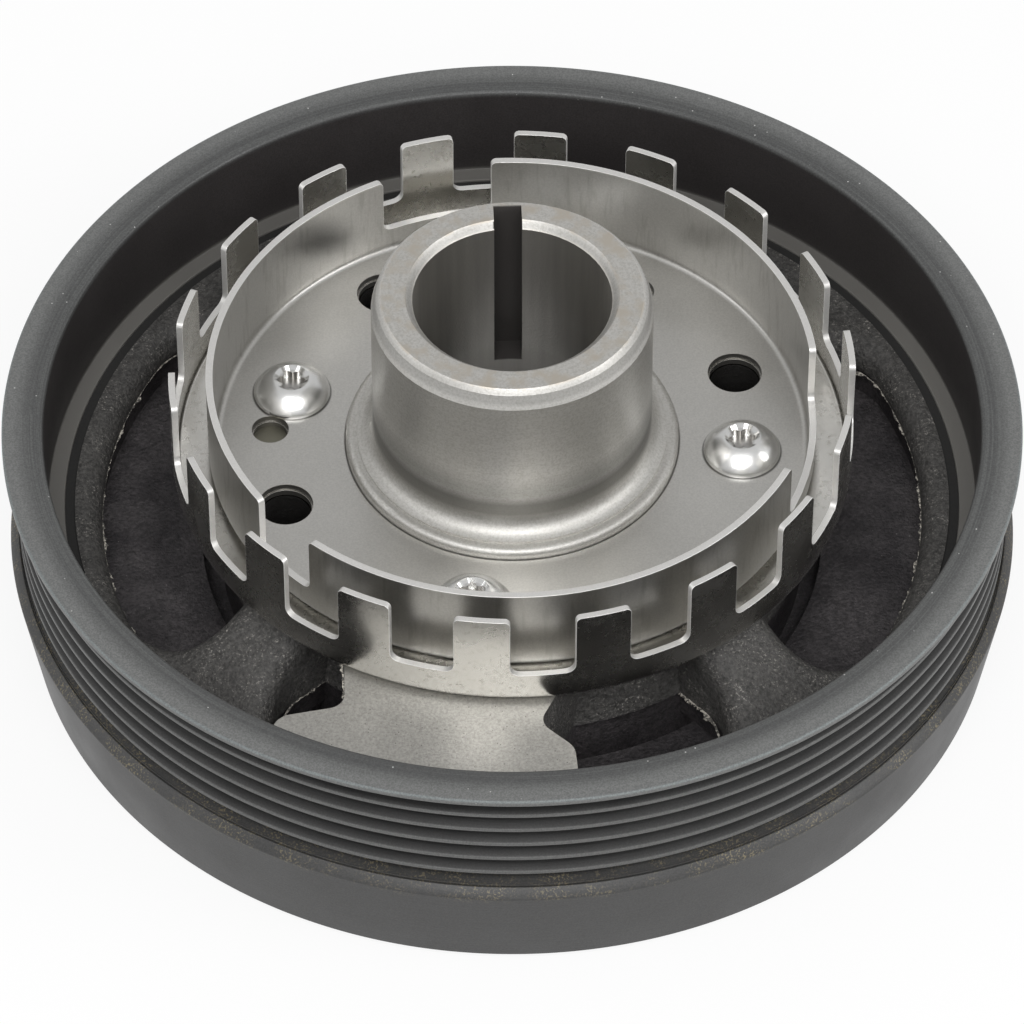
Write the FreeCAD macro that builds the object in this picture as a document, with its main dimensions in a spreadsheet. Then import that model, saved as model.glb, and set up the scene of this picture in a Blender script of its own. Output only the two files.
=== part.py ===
import FreeCAD, Part
import math
import os

import Sketcher
from FreeCAD import Placement, Rotation, Vector

# Harmonic balancer of a car engine, lying on its belt face with the engine side up.
# The bore runs along +Z through the origin, and the lower face of the belt ring stands on Z = 0.
# Millimetres and degrees. Angles round the bore are counted from +X towards +Y.

doc = FreeCAD.newDocument("harmonic_balancer")

# Driving dimensions: name, value, what it is.
SIZES = [
    ("lip_radius", 87.26, "belt ring: largest radius, at the lip above the grooves"),
    ("ring_height", 43.3, "belt ring: lower face to upper face"),
    ("lip_thickness", 1.1, "belt ring: height of the lip's edge"),
    ("lip_slope_height", 1.5, "belt ring: height of the slope under the lip"),
    ("groove_tip_radius", 85.3, "belt ring: radius over the ridges between the grooves"),
    ("groove_total", 6, "belt ring: number of grooves"),
    ("groove_pitch", 3.56, "belt ring: spacing of the grooves"),
    ("groove_depth", 2.7, "belt ring: depth of a groove"),
    ("groove_floor", 0.9, "belt ring: width of a groove's floor"),
    ("groove_angle", 40, "belt ring: angle between a groove's flanks"),
    ("first_groove_drop", 4.1, "belt ring: upper face to the middle of the first groove"),
    ("last_ridge", 1.3, "belt ring: middle of the last groove to the bevel of the plain band"),
    ("band_radius", 87.0, "belt ring: radius of the plain band under the grooves"),
    ("band_bevel", 1.9, "belt ring: height of the bevel over the band"),
    ("band_foot_radius", 84.2, "belt ring: radius of the band at its lower edge"),
    ("band_foot_edge", 0.8, "belt ring: bevel of the lower edge"),
    ("well_radius", 80.2, "belt ring: radius of the wall round the hub"),
    ("well_edge_round", 0.9, "belt ring: rounding of the wall's upper edge"),
    ("ledge_height", 24.4, "belt ring: height of the ledge inside the wall"),
    ("ring_bore_radius", 77.3, "belt ring: radius of the bore that holds the rubber"),
    ("rubber_wall", 1.7, "rubber: thickness between ring and hub"),
    ("rubber_recess", 0.4, "rubber: upper edge below the ledge"),
    ("rubber_bottom", 2.5, "rubber: height of the lower edge"),
    ("rim_height", 24.3, "hub: height of the rim's upper face"),
    ("rim_wall", 4.3, "hub: thickness of the rim at the pocket's mouth"),
    ("rim_foot", 5.5, "hub: thickness of the rim at its lower face"),
    ("rim_bottom", 3, "hub: height of the rim's lower face"),
    ("seat_height", 35.4, "hub: height of the milled seat under the interrupter rings"),
    ("seat_radius", 51, "hub: radius where the spokes start to fall away from the seat"),
    ("seat_allowance", 3.5, "hub: what the casting has over the seat before milling"),
    ("spoke_foot_radius", 70.4, "hub: radius where the spokes reach the rim"),
    ("spoke_foot_round", 8, "hub: hollow rounding where the spokes reach the rim"),
    ("boss_radius", 47.5, "hub: radius of the boss at the seat"),
    ("boss_foot_radius", 51.4, "hub: radius of the boss at the parting line"),
    ("parting_height", 20, "hub: height of the mould's parting line round the pockets"),
    ("parting_step", 0.8, "hub: how far the pockets' walls stand back below the parting line"),
    ("pocket_floor", 14.2, "hub: height of the pockets' floor"),
    ("web_bottom", 6, "hub: height of the web's lower face"),
    ("spoke_total", 4, "hub: number of spokes and of pockets"),
    ("spoke_width", 14, "hub: width of a spoke at the height of the seat"),
    ("first_pocket_angle", 87.8, "hub: direction of the first pocket's middle"),
    ("pocket_corner", 12, "hub: corner radius of the pockets"),
    ("casting_draft", 4, "hub: draft of the pockets' walls"),
    ("shoulder_round", 3.8, "hub: rounding of the pockets' upper edges"),
    ("slot_width", 3.3, "hub: width of the slot round the boss in each pocket's floor"),
    ("slot_depth", 4.6, "hub: depth of that slot"),
    ("slot_half_angle", 38, "hub: half the angle that the slot spans, into the spokes' feet"),
    ("front_boss_radius", 32, "hub: radius of the boss on the lower side"),
    ("washer_radius", 24, "hub: radius of the recess for the crankshaft bolt's washer"),
    ("washer_depth", 5, "hub: depth of that recess"),
    ("nose_height", 72.5, "nose: height of its upper face"),
    ("nose_radius", 23.85, "nose: radius of the seal's running surface"),
    ("nose_bevel", 0.85, "nose: bevel of the upper edge"),
    ("nose_taper", 0.9, "nose: narrowing of the lead-in under the bevel"),
    ("nose_taper_length", 2.55, "nose: length of the lead-in"),
    ("nose_root_round", 3.2, "nose: rounding at the foot"),
    ("flange_radius", 28.6, "flange round the nose's foot: radius"),
    ("flange_height", 39.6, "flange: height of its outer land"),
    ("flange_step", 0.35, "flange: step where the nose's rounding ends on the land"),
    ("flange_rise", 0.9, "flange: height over the land at which the rounding's corner lies"),
    ("flange_round", 1.1, "flange: rounding of the outer edge"),
    ("flange_land", 2, "flange: width of the turned land with its edge"),
    ("bore_radius", 16.85, "crankshaft bore: radius"),
    ("bore_bevel", 1.25, "crankshaft bore: bevel at the upper edge, outwards"),
    ("bore_bevel_depth", 1.2, "crankshaft bore: bevel at the upper edge, downwards"),
    ("keyway_width", 4.8, "keyway: width"),
    ("keyway_reach", 21.35, "keyway: distance of its floor from the axis"),
    ("keyway_bottom", 39.7, "keyway: height of its blind end"),
    ("keyway_angle", 92.4, "keyway: direction from the axis"),
    ("weight_angle", 259.3, "balance weight: direction of its middle"),
    ("weight_root", 20.6, "balance weight: half width at the boss"),
    ("weight_waist", 16.2, "balance weight: half width at the waist"),
    ("weight_left_waist_radius", 63.5, "balance weight: distance of the waist, left side"),
    ("weight_right_waist_radius", 61, "balance weight: distance of the waist, right side"),
    ("weight_left_foot", 26.8, "balance weight: half width where it has spread out, left side"),
    ("weight_right_foot", 23, "balance weight: half width where it has spread out, right side"),
    ("weight_left_foot_radius", 68, "balance weight: distance where it has spread out, left side"),
    ("weight_right_foot_radius", 65.3, "balance weight: distance where it has spread out, right side"),
    ("weight_left_flare", 0.7, "balance weight: further spread as far as the rim, left side"),
    ("weight_right_flare", 4.6, "balance weight: further spread as far as the rim, right side"),
    ("weight_waist_round", 3, "balance weight: rounding at the waist"),
    ("weight_foot_round", 3.6, "balance weight: rounding of the spread corner"),
    ("weight_bottom", 8, "balance weight: height where it goes into the web"),
    ("pilot_clearance", 0.1, "interrupter rings: clearance round the flange"),
    ("outer_cup_radius", 58.4, "outer interrupter ring: outer radius"),
    ("outer_cup_sheet", 1.1, "outer interrupter ring: thickness of the sheet"),
    ("outer_cup_top", 54.65, "outer interrupter ring: height of the blades' ends"),
    ("outer_cup_bend", 1.6, "outer interrupter ring: outside bend radius"),
    ("blade_total", 18, "outer interrupter ring: number of blades"),
    ("blade_angle", 9.27, "outer interrupter ring: angle that a blade spans"),
    ("first_gap_angle", 275.1, "outer interrupter ring: direction of the first gap"),
    ("gap_bottom", 41.7, "outer interrupter ring: height of the gaps' floor"),
    ("gap_floor_round", 1.7, "outer interrupter ring: corner radius at the gaps' floor"),
    ("blade_tip_round", 1, "both interrupter rings: corner radius of the blades' ends"),
    ("inner_cup_radius", 52.1, "inner interrupter ring: outer radius"),
    ("inner_cup_sheet", 1.2, "inner interrupter ring: thickness of the sheet"),
    ("inner_cup_top", 54.1, "inner interrupter ring: height of the blades' ends"),
    ("inner_cup_bend", 2.3, "inner interrupter ring: outside bend radius"),
    ("window_bottom", 42.3, "inner interrupter ring: height of the windows' floor"),
    ("window_round", 1.6, "inner interrupter ring: corner radius at the windows' floor"),
    ("small_window_angle", 222.65, "inner interrupter ring: direction of the smallest window"),
    ("small_window_span", 13.7, "inner interrupter ring: angle of the smallest window"),
    ("middle_window_angle", 105.25, "inner interrupter ring: direction of the middle window"),
    ("middle_window_span", 22.1, "inner interrupter ring: angle of the middle window"),
    ("large_window_angle", 350, "inner interrupter ring: direction of the largest window"),
    ("large_window_span", 31.2, "inner interrupter ring: angle of the largest window"),
    ("screw_circle", 39.5, "screws: radius of the circle that they stand on"),
    ("screw_angle_one", 260.4, "screws: direction of the front screw"),
    ("screw_angle_two", 355.5, "screws: direction of the right screw"),
    ("screw_angle_three", 80, "screws: direction of the screw behind the nose"),
    ("screw_angle_four", 164.3, "screws: direction of the left screw"),
    ("screw_shank", 4, "screws: radius of the shank"),
    ("screw_length", 15, "screws: length under the head"),
    ("screw_head_radius", 6.6, "screws: radius of the button head"),
    ("screw_head_height", 3.7, "screws: height of the button head"),
    ("screw_head_edge", 0.5, "screws: height of the head's straight edge"),
    ("screw_head_land", 3.1, "screws: radius of the flat land round the socket"),
    ("socket_reach", 2.5, "screws: distance of the socket's six lobes from the screw's axis"),
    ("socket_lobe", 0.42, "screws: radius of a lobe"),
    ("socket_flank", 1.03, "screws: radius of the flanks between the lobes"),
    ("socket_depth", 2.2, "screws: depth of the socket"),
    ("screw_clearance", 0.3, "screws: clearance in the interrupter rings"),
    ("tapping_clearance", 0.05, "screws: clearance in the hub"),
    ("screw_hole_spare", 2.5, "screws: depth of the hub's hole past the tip"),
    ("puller_circle", 41.6, "open holes: radius of the circle that they lie on"),
    ("puller_hole", 4.65, "large open holes: radius in the inner ring"),
    ("puller_hole_step", 0.25, "open holes: how much smaller they are in the outer ring"),
    ("puller_thread", 4.2, "large open holes: radius in the hub"),
    ("puller_depth", 20, "large open holes: depth in the hub"),
    ("puller_angle_one", 22.05, "large open holes: direction of the right one"),
    ("puller_angle_two", 122.8, "large open holes: direction of the one behind the nose"),
    ("puller_angle_three", 202.3, "large open holes: direction of the left one"),
    ("sight_hole", 3.15, "small open holes: radius in the inner ring"),
    ("sight_angle_one", 58.6, "small open holes: direction of the one behind the nose"),
    ("sight_angle_two", 177.4, "small open holes: direction of the left one"),
    ("cut_margin", 1, "every cut: how far it starts outside the metal"),
]

sheet = doc.addObject("Spreadsheet::Sheet", "sizes")
for row, (alias, value, note) in enumerate(SIZES, 1):
    sheet.set("A%d" % row, alias)
    sheet.set("B%d" % row, str(value))
    sheet.setAlias("B%d" % row, alias)
    sheet.set("C%d" % row, note)
doc.recompute()

NAMES = {alias for alias, value, note in SIZES}


def bound(text):
    """An expression of the driving dimensions, each named as a cell of the sheet."""
    words = ""
    out = ""
    for letter in str(text) + " ":
        if letter.isalnum() or letter == "_" or letter == ".":
            words += letter
            continue
        out += "sizes." + words if words in NAMES else words
        out += letter
        words = ""
    return out.strip()


def number(text):
    """The value of such an expression at the present sizes."""
    value = sheet.evalExpression(bound(text))
    return float(getattr(value, "Value", value))


def bind(thing, prop, text):
    thing.setExpression(prop, bound(text))


def new_body(name):
    body = doc.addObject("PartDesign::Body", name)
    body.Label = name
    body.Placement = Placement()
    return body


def origin_part(body, role):
    return [item for item in body.Origin.OriginFeatures if item.Role == role][0]


def new_sketch(body, name, plane, height=None, turn=None):
    """A sketch on one of the body's planes, lifted by height or turned about Z by an angle."""
    sketch = body.newObject("Sketcher::SketchObject", name)
    sketch.AttachmentSupport = [(origin_part(body, plane), "")]
    sketch.MapMode = "FlatFace"
    if turn is not None:
        upright = Vector(0, 0, 1) if plane == "XY_Plane" else Vector(0, 1, 0)
        sketch.AttachmentOffset = Placement(Vector(), Rotation(upright, number(turn)))
        bind(sketch, "AttachmentOffset.Rotation.Angle", turn)
    if height is not None:
        bind(sketch, "AttachmentOffset.Base.z", height)
    doc.recompute()
    return sketch


def constrain(sketch, kind, *targets, size=None):
    """Adds one constraint, driven by an expression where it has a size."""
    if size is None:
        return sketch.addConstraint(Sketcher.Constraint(kind, *targets))
    index = sketch.addConstraint(Sketcher.Constraint(kind, *targets, number(size)))
    bind(sketch, "Constraints[%d]" % index, size)
    return index


def pin_point(sketch, item, end, x, y):
    """Holds a point of the sketch at x and y, and on an axis where one of them is nought."""
    if x == "0":
        constrain(sketch, "PointOnObject", item, end, -2)
    else:
        constrain(sketch, "DistanceX", -1, 1, item, end, size=x)
    if y == "0":
        constrain(sketch, "PointOnObject", item, end, -1)
    else:
        constrain(sketch, "DistanceY", -1, 1, item, end, size=y)


def outline(sketch, corners):
    """A closed outline through corners (x, y) or (x, y, rounding), each an expression."""
    spots = [Vector(number(corner[0]), number(corner[1]), 0) for corner in corners]
    rounds = [number(corner[2]) if len(corner) > 2 else 0 for corner in corners]
    starts = []
    ends = []
    for i, spot in enumerate(spots):
        before = (spots[i - 1] - spot).normalize()
        after = (spots[(i + 1) % len(spots)] - spot).normalize()
        half = before.getAngle(after) / 2
        reach = rounds[i] / math.tan(half)
        ends.append(spot + before * reach)
        starts.append(spot + after * reach)
    lines = []
    for i in range(len(spots)):
        line = Part.LineSegment(starts[i], ends[(i + 1) % len(spots)])
        lines.append(sketch.addGeometry(line, False))
    for i, corner in enumerate(corners):
        into = lines[i - 1]
        away = lines[i]
        if not rounds[i]:
            constrain(sketch, "Coincident", into, 2, away, 1)
            pin_point(sketch, away, 1, corner[0], corner[1])
            continue
        arc, swept = corner_arc(sketch, spots[i], ends[i], starts[i])
        constrain(sketch, "Tangent", into, 2, arc, 1 if swept else 2)
        constrain(sketch, "Tangent", arc, 2 if swept else 1, away, 1)
        constrain(sketch, "Radius", arc, size=corner[2])
        tip = sketch.addGeometry(Part.Point(spots[i]), True)
        constrain(sketch, "PointOnObject", tip, 1, into)
        constrain(sketch, "PointOnObject", tip, 1, away)
        pin_point(sketch, tip, 1, corner[0], corner[1])
    return lines


def corner_arc(sketch, corner, first, last):
    """The rounding of a corner from first to last, and whether it runs counterclockwise."""
    middle = (first + last) * 0.5
    inward = (middle - corner).normalize()
    leg = (first - corner).Length
    span = (middle - corner).Length
    centre = corner + inward * (leg * leg / span)
    radius = (first - centre).Length
    start = math.atan2(first.y - centre.y, first.x - centre.x)
    stop = math.atan2(last.y - centre.y, last.x - centre.x)
    swept = (stop - start) % (2 * math.pi) < math.pi
    if not swept:
        start, stop = stop, start
    circle = Part.Circle(centre, Vector(0, 0, 1), radius)
    return sketch.addGeometry(Part.ArcOfCircle(circle, start, stop), False), swept


def round_hole(sketch, x, y, radius):
    spot = Vector(number(x), number(y), 0)
    hole = sketch.addGeometry(Part.Circle(spot, Vector(0, 0, 1), number(radius)), False)
    pin_point(sketch, hole, 3, x, y)
    constrain(sketch, "Radius", hole, size=radius)


def turned(body, name, corners, cut=False):
    """Revolves a profile of (radius, height) corners round the bore's axis, or cuts it away."""
    sketch = new_sketch(body, name + "_profile", "XZ_Plane")
    outline(sketch, corners)
    feature = body.newObject("PartDesign::Groove" if cut else "PartDesign::Revolution", name)
    feature.Profile = sketch
    feature.ReferenceAxis = (sketch, ["V_Axis"])
    feature.Angle = 360
    settle(body, feature)
    return feature


def milled(body, name, sketch, depth, upwards=False, draft=None):
    """Cuts the sketch's outline into the body to a depth."""
    feature = body.newObject("PartDesign::Pocket", name)
    feature.Profile = sketch
    feature.Reversed = upwards
    bind(feature, "Length", depth)
    if draft is not None:
        bind(feature, "TaperAngle", draft)
    settle(body, feature)
    return feature


def settle(body, feature):
    """Makes the feature the body's last one and makes sure that it changed the body."""
    before = 0 if body.Shape.isNull() else body.Shape.Volume
    body.Tip = feature
    doc.recompute()
    if feature.Shape.isNull() or abs(feature.Shape.Volume - before) < 1e-3:
        raise ValueError("%s changes nothing" % feature.Name)


def around(body, name, feature, total):
    """Repeats a feature at equal angles round the bore's axis."""
    pattern = body.newObject("PartDesign::PolarPattern", name)
    pattern.Originals = [feature]
    pattern.Axis = (origin_part(body, "Z_Axis"), [""])
    pattern.Angle = 360
    bind(pattern, "Occurrences", total)
    settle(body, pattern)
    return pattern


def eased(body, name, edges, radius):
    """Rounds the named edges of the body's last feature."""
    base = body.Tip
    feature = body.newObject("PartDesign::Fillet", name)
    feature.Base = (base, edges)
    bind(feature, "Radius", radius)
    settle(body, feature)
    return feature


def edges_where(body, test):
    """Names of the edges that pass a test of their least and largest radius and least height.

    The seam of a turned surface, which lies at Y = 0, is no edge of the metal and is left out.
    """
    names = []
    for index, edge in enumerate(body.Shape.Edges, 1):
        spots = edge.discretize(7)
        radii = [math.hypot(spot.x, spot.y) for spot in spots]
        seam = max(abs(spot.y) for spot in spots) < 1e-6
        if not seam and test(min(radii), max(radii), min(spot.z for spot in spots)):
            names.append("Edge%d" % index)
    return names


def across(circle, angle):
    return "%s * cos(%s)" % (circle, angle)


def along(circle, angle):
    return "%s * sin(%s)" % (circle, angle)


def pulley_ring():
    """Turned ring: lip, grooves, plain band and the well with its ledge, all about one axis."""
    body = new_body("pulley_ring")
    groove_zone = "ring_height - first_groove_drop - (groove_total - 1) * groove_pitch - last_ridge"
    turned(body, "ring_blank", [
        ("ring_bore_radius", "0"),
        ("band_foot_radius - band_foot_edge", "0"),
        ("band_foot_radius", "band_foot_edge"),
        ("band_radius", groove_zone + " - band_bevel", "band_bevel / 4"),
        ("groove_tip_radius", groove_zone),
        ("groove_tip_radius", "ring_height - lip_thickness - lip_slope_height"),
        ("lip_radius", "ring_height - lip_thickness"),
        ("lip_radius", "ring_height", "lip_thickness / 3"),
        ("well_radius", "ring_height", "well_edge_round"),
        ("well_radius", "ledge_height"),
        ("ring_bore_radius", "ledge_height"),
    ])
    middle = "(ring_height - first_groove_drop)"
    flank = "tan(groove_angle / 2)"
    floor = "groove_tip_radius - groove_depth"
    mouth = "groove_tip_radius + cut_margin / 2"
    half_floor = "groove_floor / 2"
    half_mouth = "(groove_floor / 2 + (groove_depth + cut_margin / 2) * %s)" % flank
    groove = turned(body, "belt_groove", [
        (floor, middle + " - " + half_floor),
        (mouth, middle + " - " + half_mouth),
        (mouth, middle + " + " + half_mouth),
        (floor, middle + " + " + half_floor),
    ], cut=True)
    rows = body.newObject("PartDesign::LinearPattern", "belt_grooves")
    rows.Originals = [groove]
    rows.Direction = (origin_part(body, "Z_Axis"), [""])
    rows.Reversed = True
    bind(rows, "Length", "groove_pitch * (groove_total - 1)")
    bind(rows, "Occurrences", "groove_total")
    settle(body, rows)
    return body


def damper_rubber():
    """Sleeve bonded between the hub's rim and the belt ring."""
    body = new_body("damper_rubber")
    turned(body, "rubber_sleeve", [
        ("ring_bore_radius - rubber_wall", "rubber_bottom"),
        ("ring_bore_radius", "rubber_bottom"),
        ("ring_bore_radius", "ledge_height - rubber_recess"),
        ("ring_bore_radius - rubber_wall", "ledge_height - rubber_recess"),
    ])
    return body


def hub_blank(body):
    """The casting before its pockets: boss, web and rim in one turn of the profile."""
    rim = "ring_bore_radius - rubber_wall"
    slope = "(spoke_foot_radius - seat_radius) / (seat_height - rim_height)"
    turned(body, "hub_blank", [
        ("bore_radius", "washer_depth"),
        ("washer_radius", "washer_depth"),
        ("washer_radius", "0"),
        ("front_boss_radius", "0"),
        ("front_boss_radius", "web_bottom", "shoulder_round"),
        (rim + " - rim_foot", "web_bottom"),
        (rim + " - rim_foot", "rim_bottom"),
        (rim, "rim_bottom"),
        (rim, "rim_height"),
        ("spoke_foot_radius", "rim_height", "spoke_foot_round"),
        ("seat_radius - seat_allowance * " + slope, "seat_height + seat_allowance"),
        ("seat_radius - seat_allowance * " + slope, "seat_height"),
        ("flange_radius", "seat_height"),
        ("flange_radius", "flange_height", "flange_round"),
        ("flange_radius - flange_land", "flange_height"),
        ("flange_radius - flange_land", "flange_height + flange_step"),
        ("nose_radius", "flange_height + flange_rise", "nose_root_round"),
        ("nose_radius", "nose_height - nose_bevel - nose_taper_length"),
        ("nose_radius - nose_taper", "nose_height - nose_bevel"),
        ("nose_radius - nose_taper - nose_bevel", "nose_height"),
        ("bore_radius + bore_bevel", "nose_height"),
        ("bore_radius", "nose_height - bore_bevel_depth"),
    ])


def pocket_outline(sketch, inner, outer, half):
    """A sector between two parallel-sided spokes, with round corners at the rim.

    It reaches from the inner to the outer radius. The sketch's x axis points along the pocket's
    middle. Each side lies half a spoke's width from the spoke's middle line, which leans by half
    the angle between two spokes.
    """
    lean = "(180 / spoke_total)"
    tilt = math.radians(number(lean))
    offset = number(half)
    corner = number("pocket_corner")
    reach = number(outer)
    hub = number(inner)
    way = Vector(math.cos(tilt), math.sin(tilt), 0)
    inward = Vector(math.sin(tilt), -math.cos(tilt), 0)
    near = inward * offset + way * math.sqrt(hub * hub - offset * offset)
    run = math.sqrt((reach - corner) ** 2 - (offset + corner) ** 2)
    centre = inward * (offset + corner) + way * run
    touch = centre - inward * corner
    far = centre * (reach / (reach - corner))
    up = Vector(0, 0, 1)

    def mirrored(spot):
        return Vector(spot.x, -spot.y, 0)

    def angle(spot):
        return math.atan2(spot.y, spot.x)

    upper = sketch.addGeometry(Part.LineSegment(near, touch), False)
    lower = sketch.addGeometry(Part.LineSegment(mirrored(near), mirrored(touch)), False)
    rim = sketch.addGeometry(Part.ArcOfCircle(Part.Circle(Vector(), up, reach), -angle(far), angle(far)), False)
    boss = sketch.addGeometry(Part.ArcOfCircle(Part.Circle(Vector(), up, hub), -angle(near), angle(near)), False)
    turn = angle(touch - centre)
    high = Part.ArcOfCircle(Part.Circle(centre, up, corner), angle(far), turn)
    low = Part.ArcOfCircle(Part.Circle(mirrored(centre), up, corner), -turn, -angle(far))
    high = sketch.addGeometry(high, False)
    low = sketch.addGeometry(low, False)
    constrain(sketch, "Coincident", rim, 3, -1, 1)
    constrain(sketch, "Coincident", boss, 3, -1, 1)
    constrain(sketch, "Tangent", rim, 2, high, 1)
    constrain(sketch, "Tangent", high, 2, upper, 2)
    constrain(sketch, "Tangent", rim, 1, low, 2)
    constrain(sketch, "Tangent", low, 1, lower, 2)
    constrain(sketch, "Coincident", upper, 1, boss, 2)
    constrain(sketch, "Coincident", lower, 1, boss, 1)
    constrain(sketch, "Radius", rim, size=outer)
    constrain(sketch, "Radius", boss, size=inner)
    constrain(sketch, "Radius", high, size="pocket_corner")
    constrain(sketch, "Radius", low, size="pocket_corner")
    constrain(sketch, "Angle", -1, 1, upper, 1, size=lean)
    constrain(sketch, "Angle", lower, 1, -1, 1, size=lean)
    constrain(sketch, "Distance", -1, 1, upper, size=half)
    constrain(sketch, "Distance", -1, 1, lower, size=half)


def hub_pockets(body):
    """Deep pockets between the spokes, with drafted walls and rounded upper edges.

    The mould parts at one height. Below it the walls stand back and run straight down.
    """
    top = "seat_height + seat_allowance"
    rim = "ring_bore_radius - rubber_wall - rim_wall"
    slope = "tan(casting_draft)"
    sketch = new_sketch(body, "pocket_outline", "XY_Plane", height=top, turn="first_pocket_angle")
    pocket_outline(sketch, "boss_radius - seat_allowance * " + slope,
                   rim + " + (%s - rim_height) * %s" % (top, slope),
                   "spoke_width / 2 - seat_allowance * " + slope)
    pocket = milled(body, "pocket", sketch, top + " - parting_height", draft="-casting_draft")
    around(body, "pockets", pocket, "spoke_total")
    floor = number("parting_height")
    boss = number("boss_radius")
    mouth = number(rim)

    def upper_edge(least, largest, height):
        """Edges of the pockets' mouths, but not the circles where the spokes' slope ends."""
        level = largest - least < 1e-3 and abs(largest - mouth) > 0.1
        return height > floor + 0.1 and boss + 1 < largest < mouth + 1 and not level

    eased(body, "pocket_shoulders", edges_where(body, upper_edge), "shoulder_round")
    sketch = new_sketch(body, "lower_pocket_outline", "XY_Plane", height="parting_height",
                        turn="first_pocket_angle")
    pocket_outline(sketch, "boss_foot_radius - parting_step",
                   rim + " - (rim_height - parting_height) * %s + parting_step" % slope,
                   "spoke_width / 2 + (seat_height - parting_height) * %s - parting_step" % slope)
    lower = milled(body, "lower_pocket", sketch, "parting_height - pocket_floor")
    around(body, "lower_pockets", lower, "spoke_total")


def seat_milling(body):
    """Takes the casting down to the level seat inside the spokes' slope."""
    slope = "(spoke_foot_radius - seat_radius) / (seat_height - rim_height)"
    turned(body, "seat_milling", [
        ("seat_radius - (seat_allowance + cut_margin) * " + slope, "seat_height"),
        ("seat_radius + seat_allowance", "seat_height"),
        ("seat_radius + seat_allowance", "seat_height + seat_allowance + cut_margin"),
        ("seat_radius - (seat_allowance + cut_margin) * " + slope, "seat_height + seat_allowance + cut_margin"),
    ], cut=True)


def boss_skirt(body):
    """The boss widens down to the parting line."""
    turned(body, "boss_skirt", [
        ("boss_radius - cut_margin", "parting_height"),
        ("boss_foot_radius", "parting_height"),
        ("boss_radius", "seat_height"),
        ("boss_radius - cut_margin", "seat_height"),
    ])


def boss_slots(body):
    """A narrow slot round the boss in the floor of each pocket."""
    sketch = new_sketch(body, "slot_outline", "XY_Plane", height="pocket_floor", turn="first_pocket_angle")
    inner_wall = "boss_foot_radius - parting_step"
    inner = number(inner_wall)
    outer = number(inner_wall + " + slot_width")
    half = math.radians(number("slot_half_angle"))
    up = Vector(0, 0, 1)
    arcs = []
    for radius in (inner, outer):
        circle = Part.Circle(Vector(), up, radius)
        arcs.append(sketch.addGeometry(Part.ArcOfCircle(circle, -half, half), False))
    ends = []
    for side in (-half, half):
        way = Vector(math.cos(side), math.sin(side), 0)
        ends.append(sketch.addGeometry(Part.LineSegment(way * inner, way * outer), False))
    constrain(sketch, "Coincident", arcs[0], 3, -1, 1)
    constrain(sketch, "Coincident", arcs[1], 3, -1, 1)
    constrain(sketch, "Radius", arcs[0], size=inner_wall)
    constrain(sketch, "Radius", arcs[1], size=inner_wall + " + slot_width")
    for end, line in zip((1, 2), ends):
        constrain(sketch, "Coincident", arcs[0], end, line, 1)
        constrain(sketch, "Coincident", arcs[1], end, line, 2)
        constrain(sketch, "PointOnObject", -1, 1, line)
    constrain(sketch, "Angle", -1, 1, ends[1], 1, size="slot_half_angle")
    constrain(sketch, "Angle", ends[0], 1, -1, 1, size="slot_half_angle")
    slot = milled(body, "slot", sketch, "slot_depth")
    around(body, "slots", slot, "spoke_total")


def balance_weight(body):
    """A block left in the front pocket, milled level with the seat, with a waist and a wide foot.

    The left side runs further out before it spreads than the right one.
    """
    sketch = new_sketch(body, "weight_outline", "XY_Plane", height="weight_bottom", turn="weight_angle")
    start = "boss_radius - cut_margin * 4"
    stop = "ring_bore_radius + cut_margin * 4"
    outline(sketch, [
        (start, "weight_root"),
        ("weight_right_waist_radius", "weight_waist", "weight_waist_round"),
        ("weight_right_foot_radius", "weight_right_foot", "weight_foot_round"),
        (stop, "weight_right_foot + weight_right_flare"),
        (stop, "0 - weight_left_foot - weight_left_flare"),
        ("weight_left_foot_radius", "0 - weight_left_foot", "weight_foot_round"),
        ("weight_left_waist_radius", "0 - weight_waist", "weight_waist_round"),
        (start, "0 - weight_root"),
    ])
    feature = body.newObject("PartDesign::Pad", "balance_weight")
    feature.Profile = sketch
    bind(feature, "Length", "seat_height - weight_bottom")
    settle(body, feature)
    rim = "(ring_bore_radius - rubber_wall)"
    turned(body, "rim_turning", [
        (rim, "rim_bottom"),
        (rim + " * 1.2", "rim_bottom"),
        (rim + " * 1.2", "seat_height + cut_margin"),
        (rim, "seat_height + cut_margin"),
    ], cut=True)


def keyway(body):
    """Blind groove in the wall of the bore for the crankshaft's key."""
    sketch = new_sketch(body, "keyway_outline", "XY_Plane", height="nose_height + cut_margin",
                        turn="keyway_angle")
    outline(sketch, [
        ("bore_radius / 2", "0 - keyway_width / 2"),
        ("keyway_reach", "0 - keyway_width / 2"),
        ("keyway_reach", "keyway_width / 2"),
        ("bore_radius / 2", "keyway_width / 2"),
    ])
    milled(body, "keyway", sketch, "nose_height + cut_margin - keyway_bottom")


def hub_holes(body):
    """Holes for the screws and for a puller in the seat of the hub."""
    sketch = new_sketch(body, "screw_hole_outline", "XY_Plane", height="seat_height")
    for angle in SCREW_ANGLES:
        round_hole(sketch, across("screw_circle", angle), along("screw_circle", angle),
                   "screw_shank + tapping_clearance")
    sheets = "(outer_cup_sheet + inner_cup_sheet)"
    milled(body, "screw_holes", sketch, "screw_length + screw_hole_spare - " + sheets)
    sketch = new_sketch(body, "puller_hole_outline", "XY_Plane", height="seat_height")
    for angle in PULLER_ANGLES:
        round_hole(sketch, across("puller_circle", angle), along("puller_circle", angle), "puller_thread")
    milled(body, "puller_holes", sketch, "puller_depth")


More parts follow.
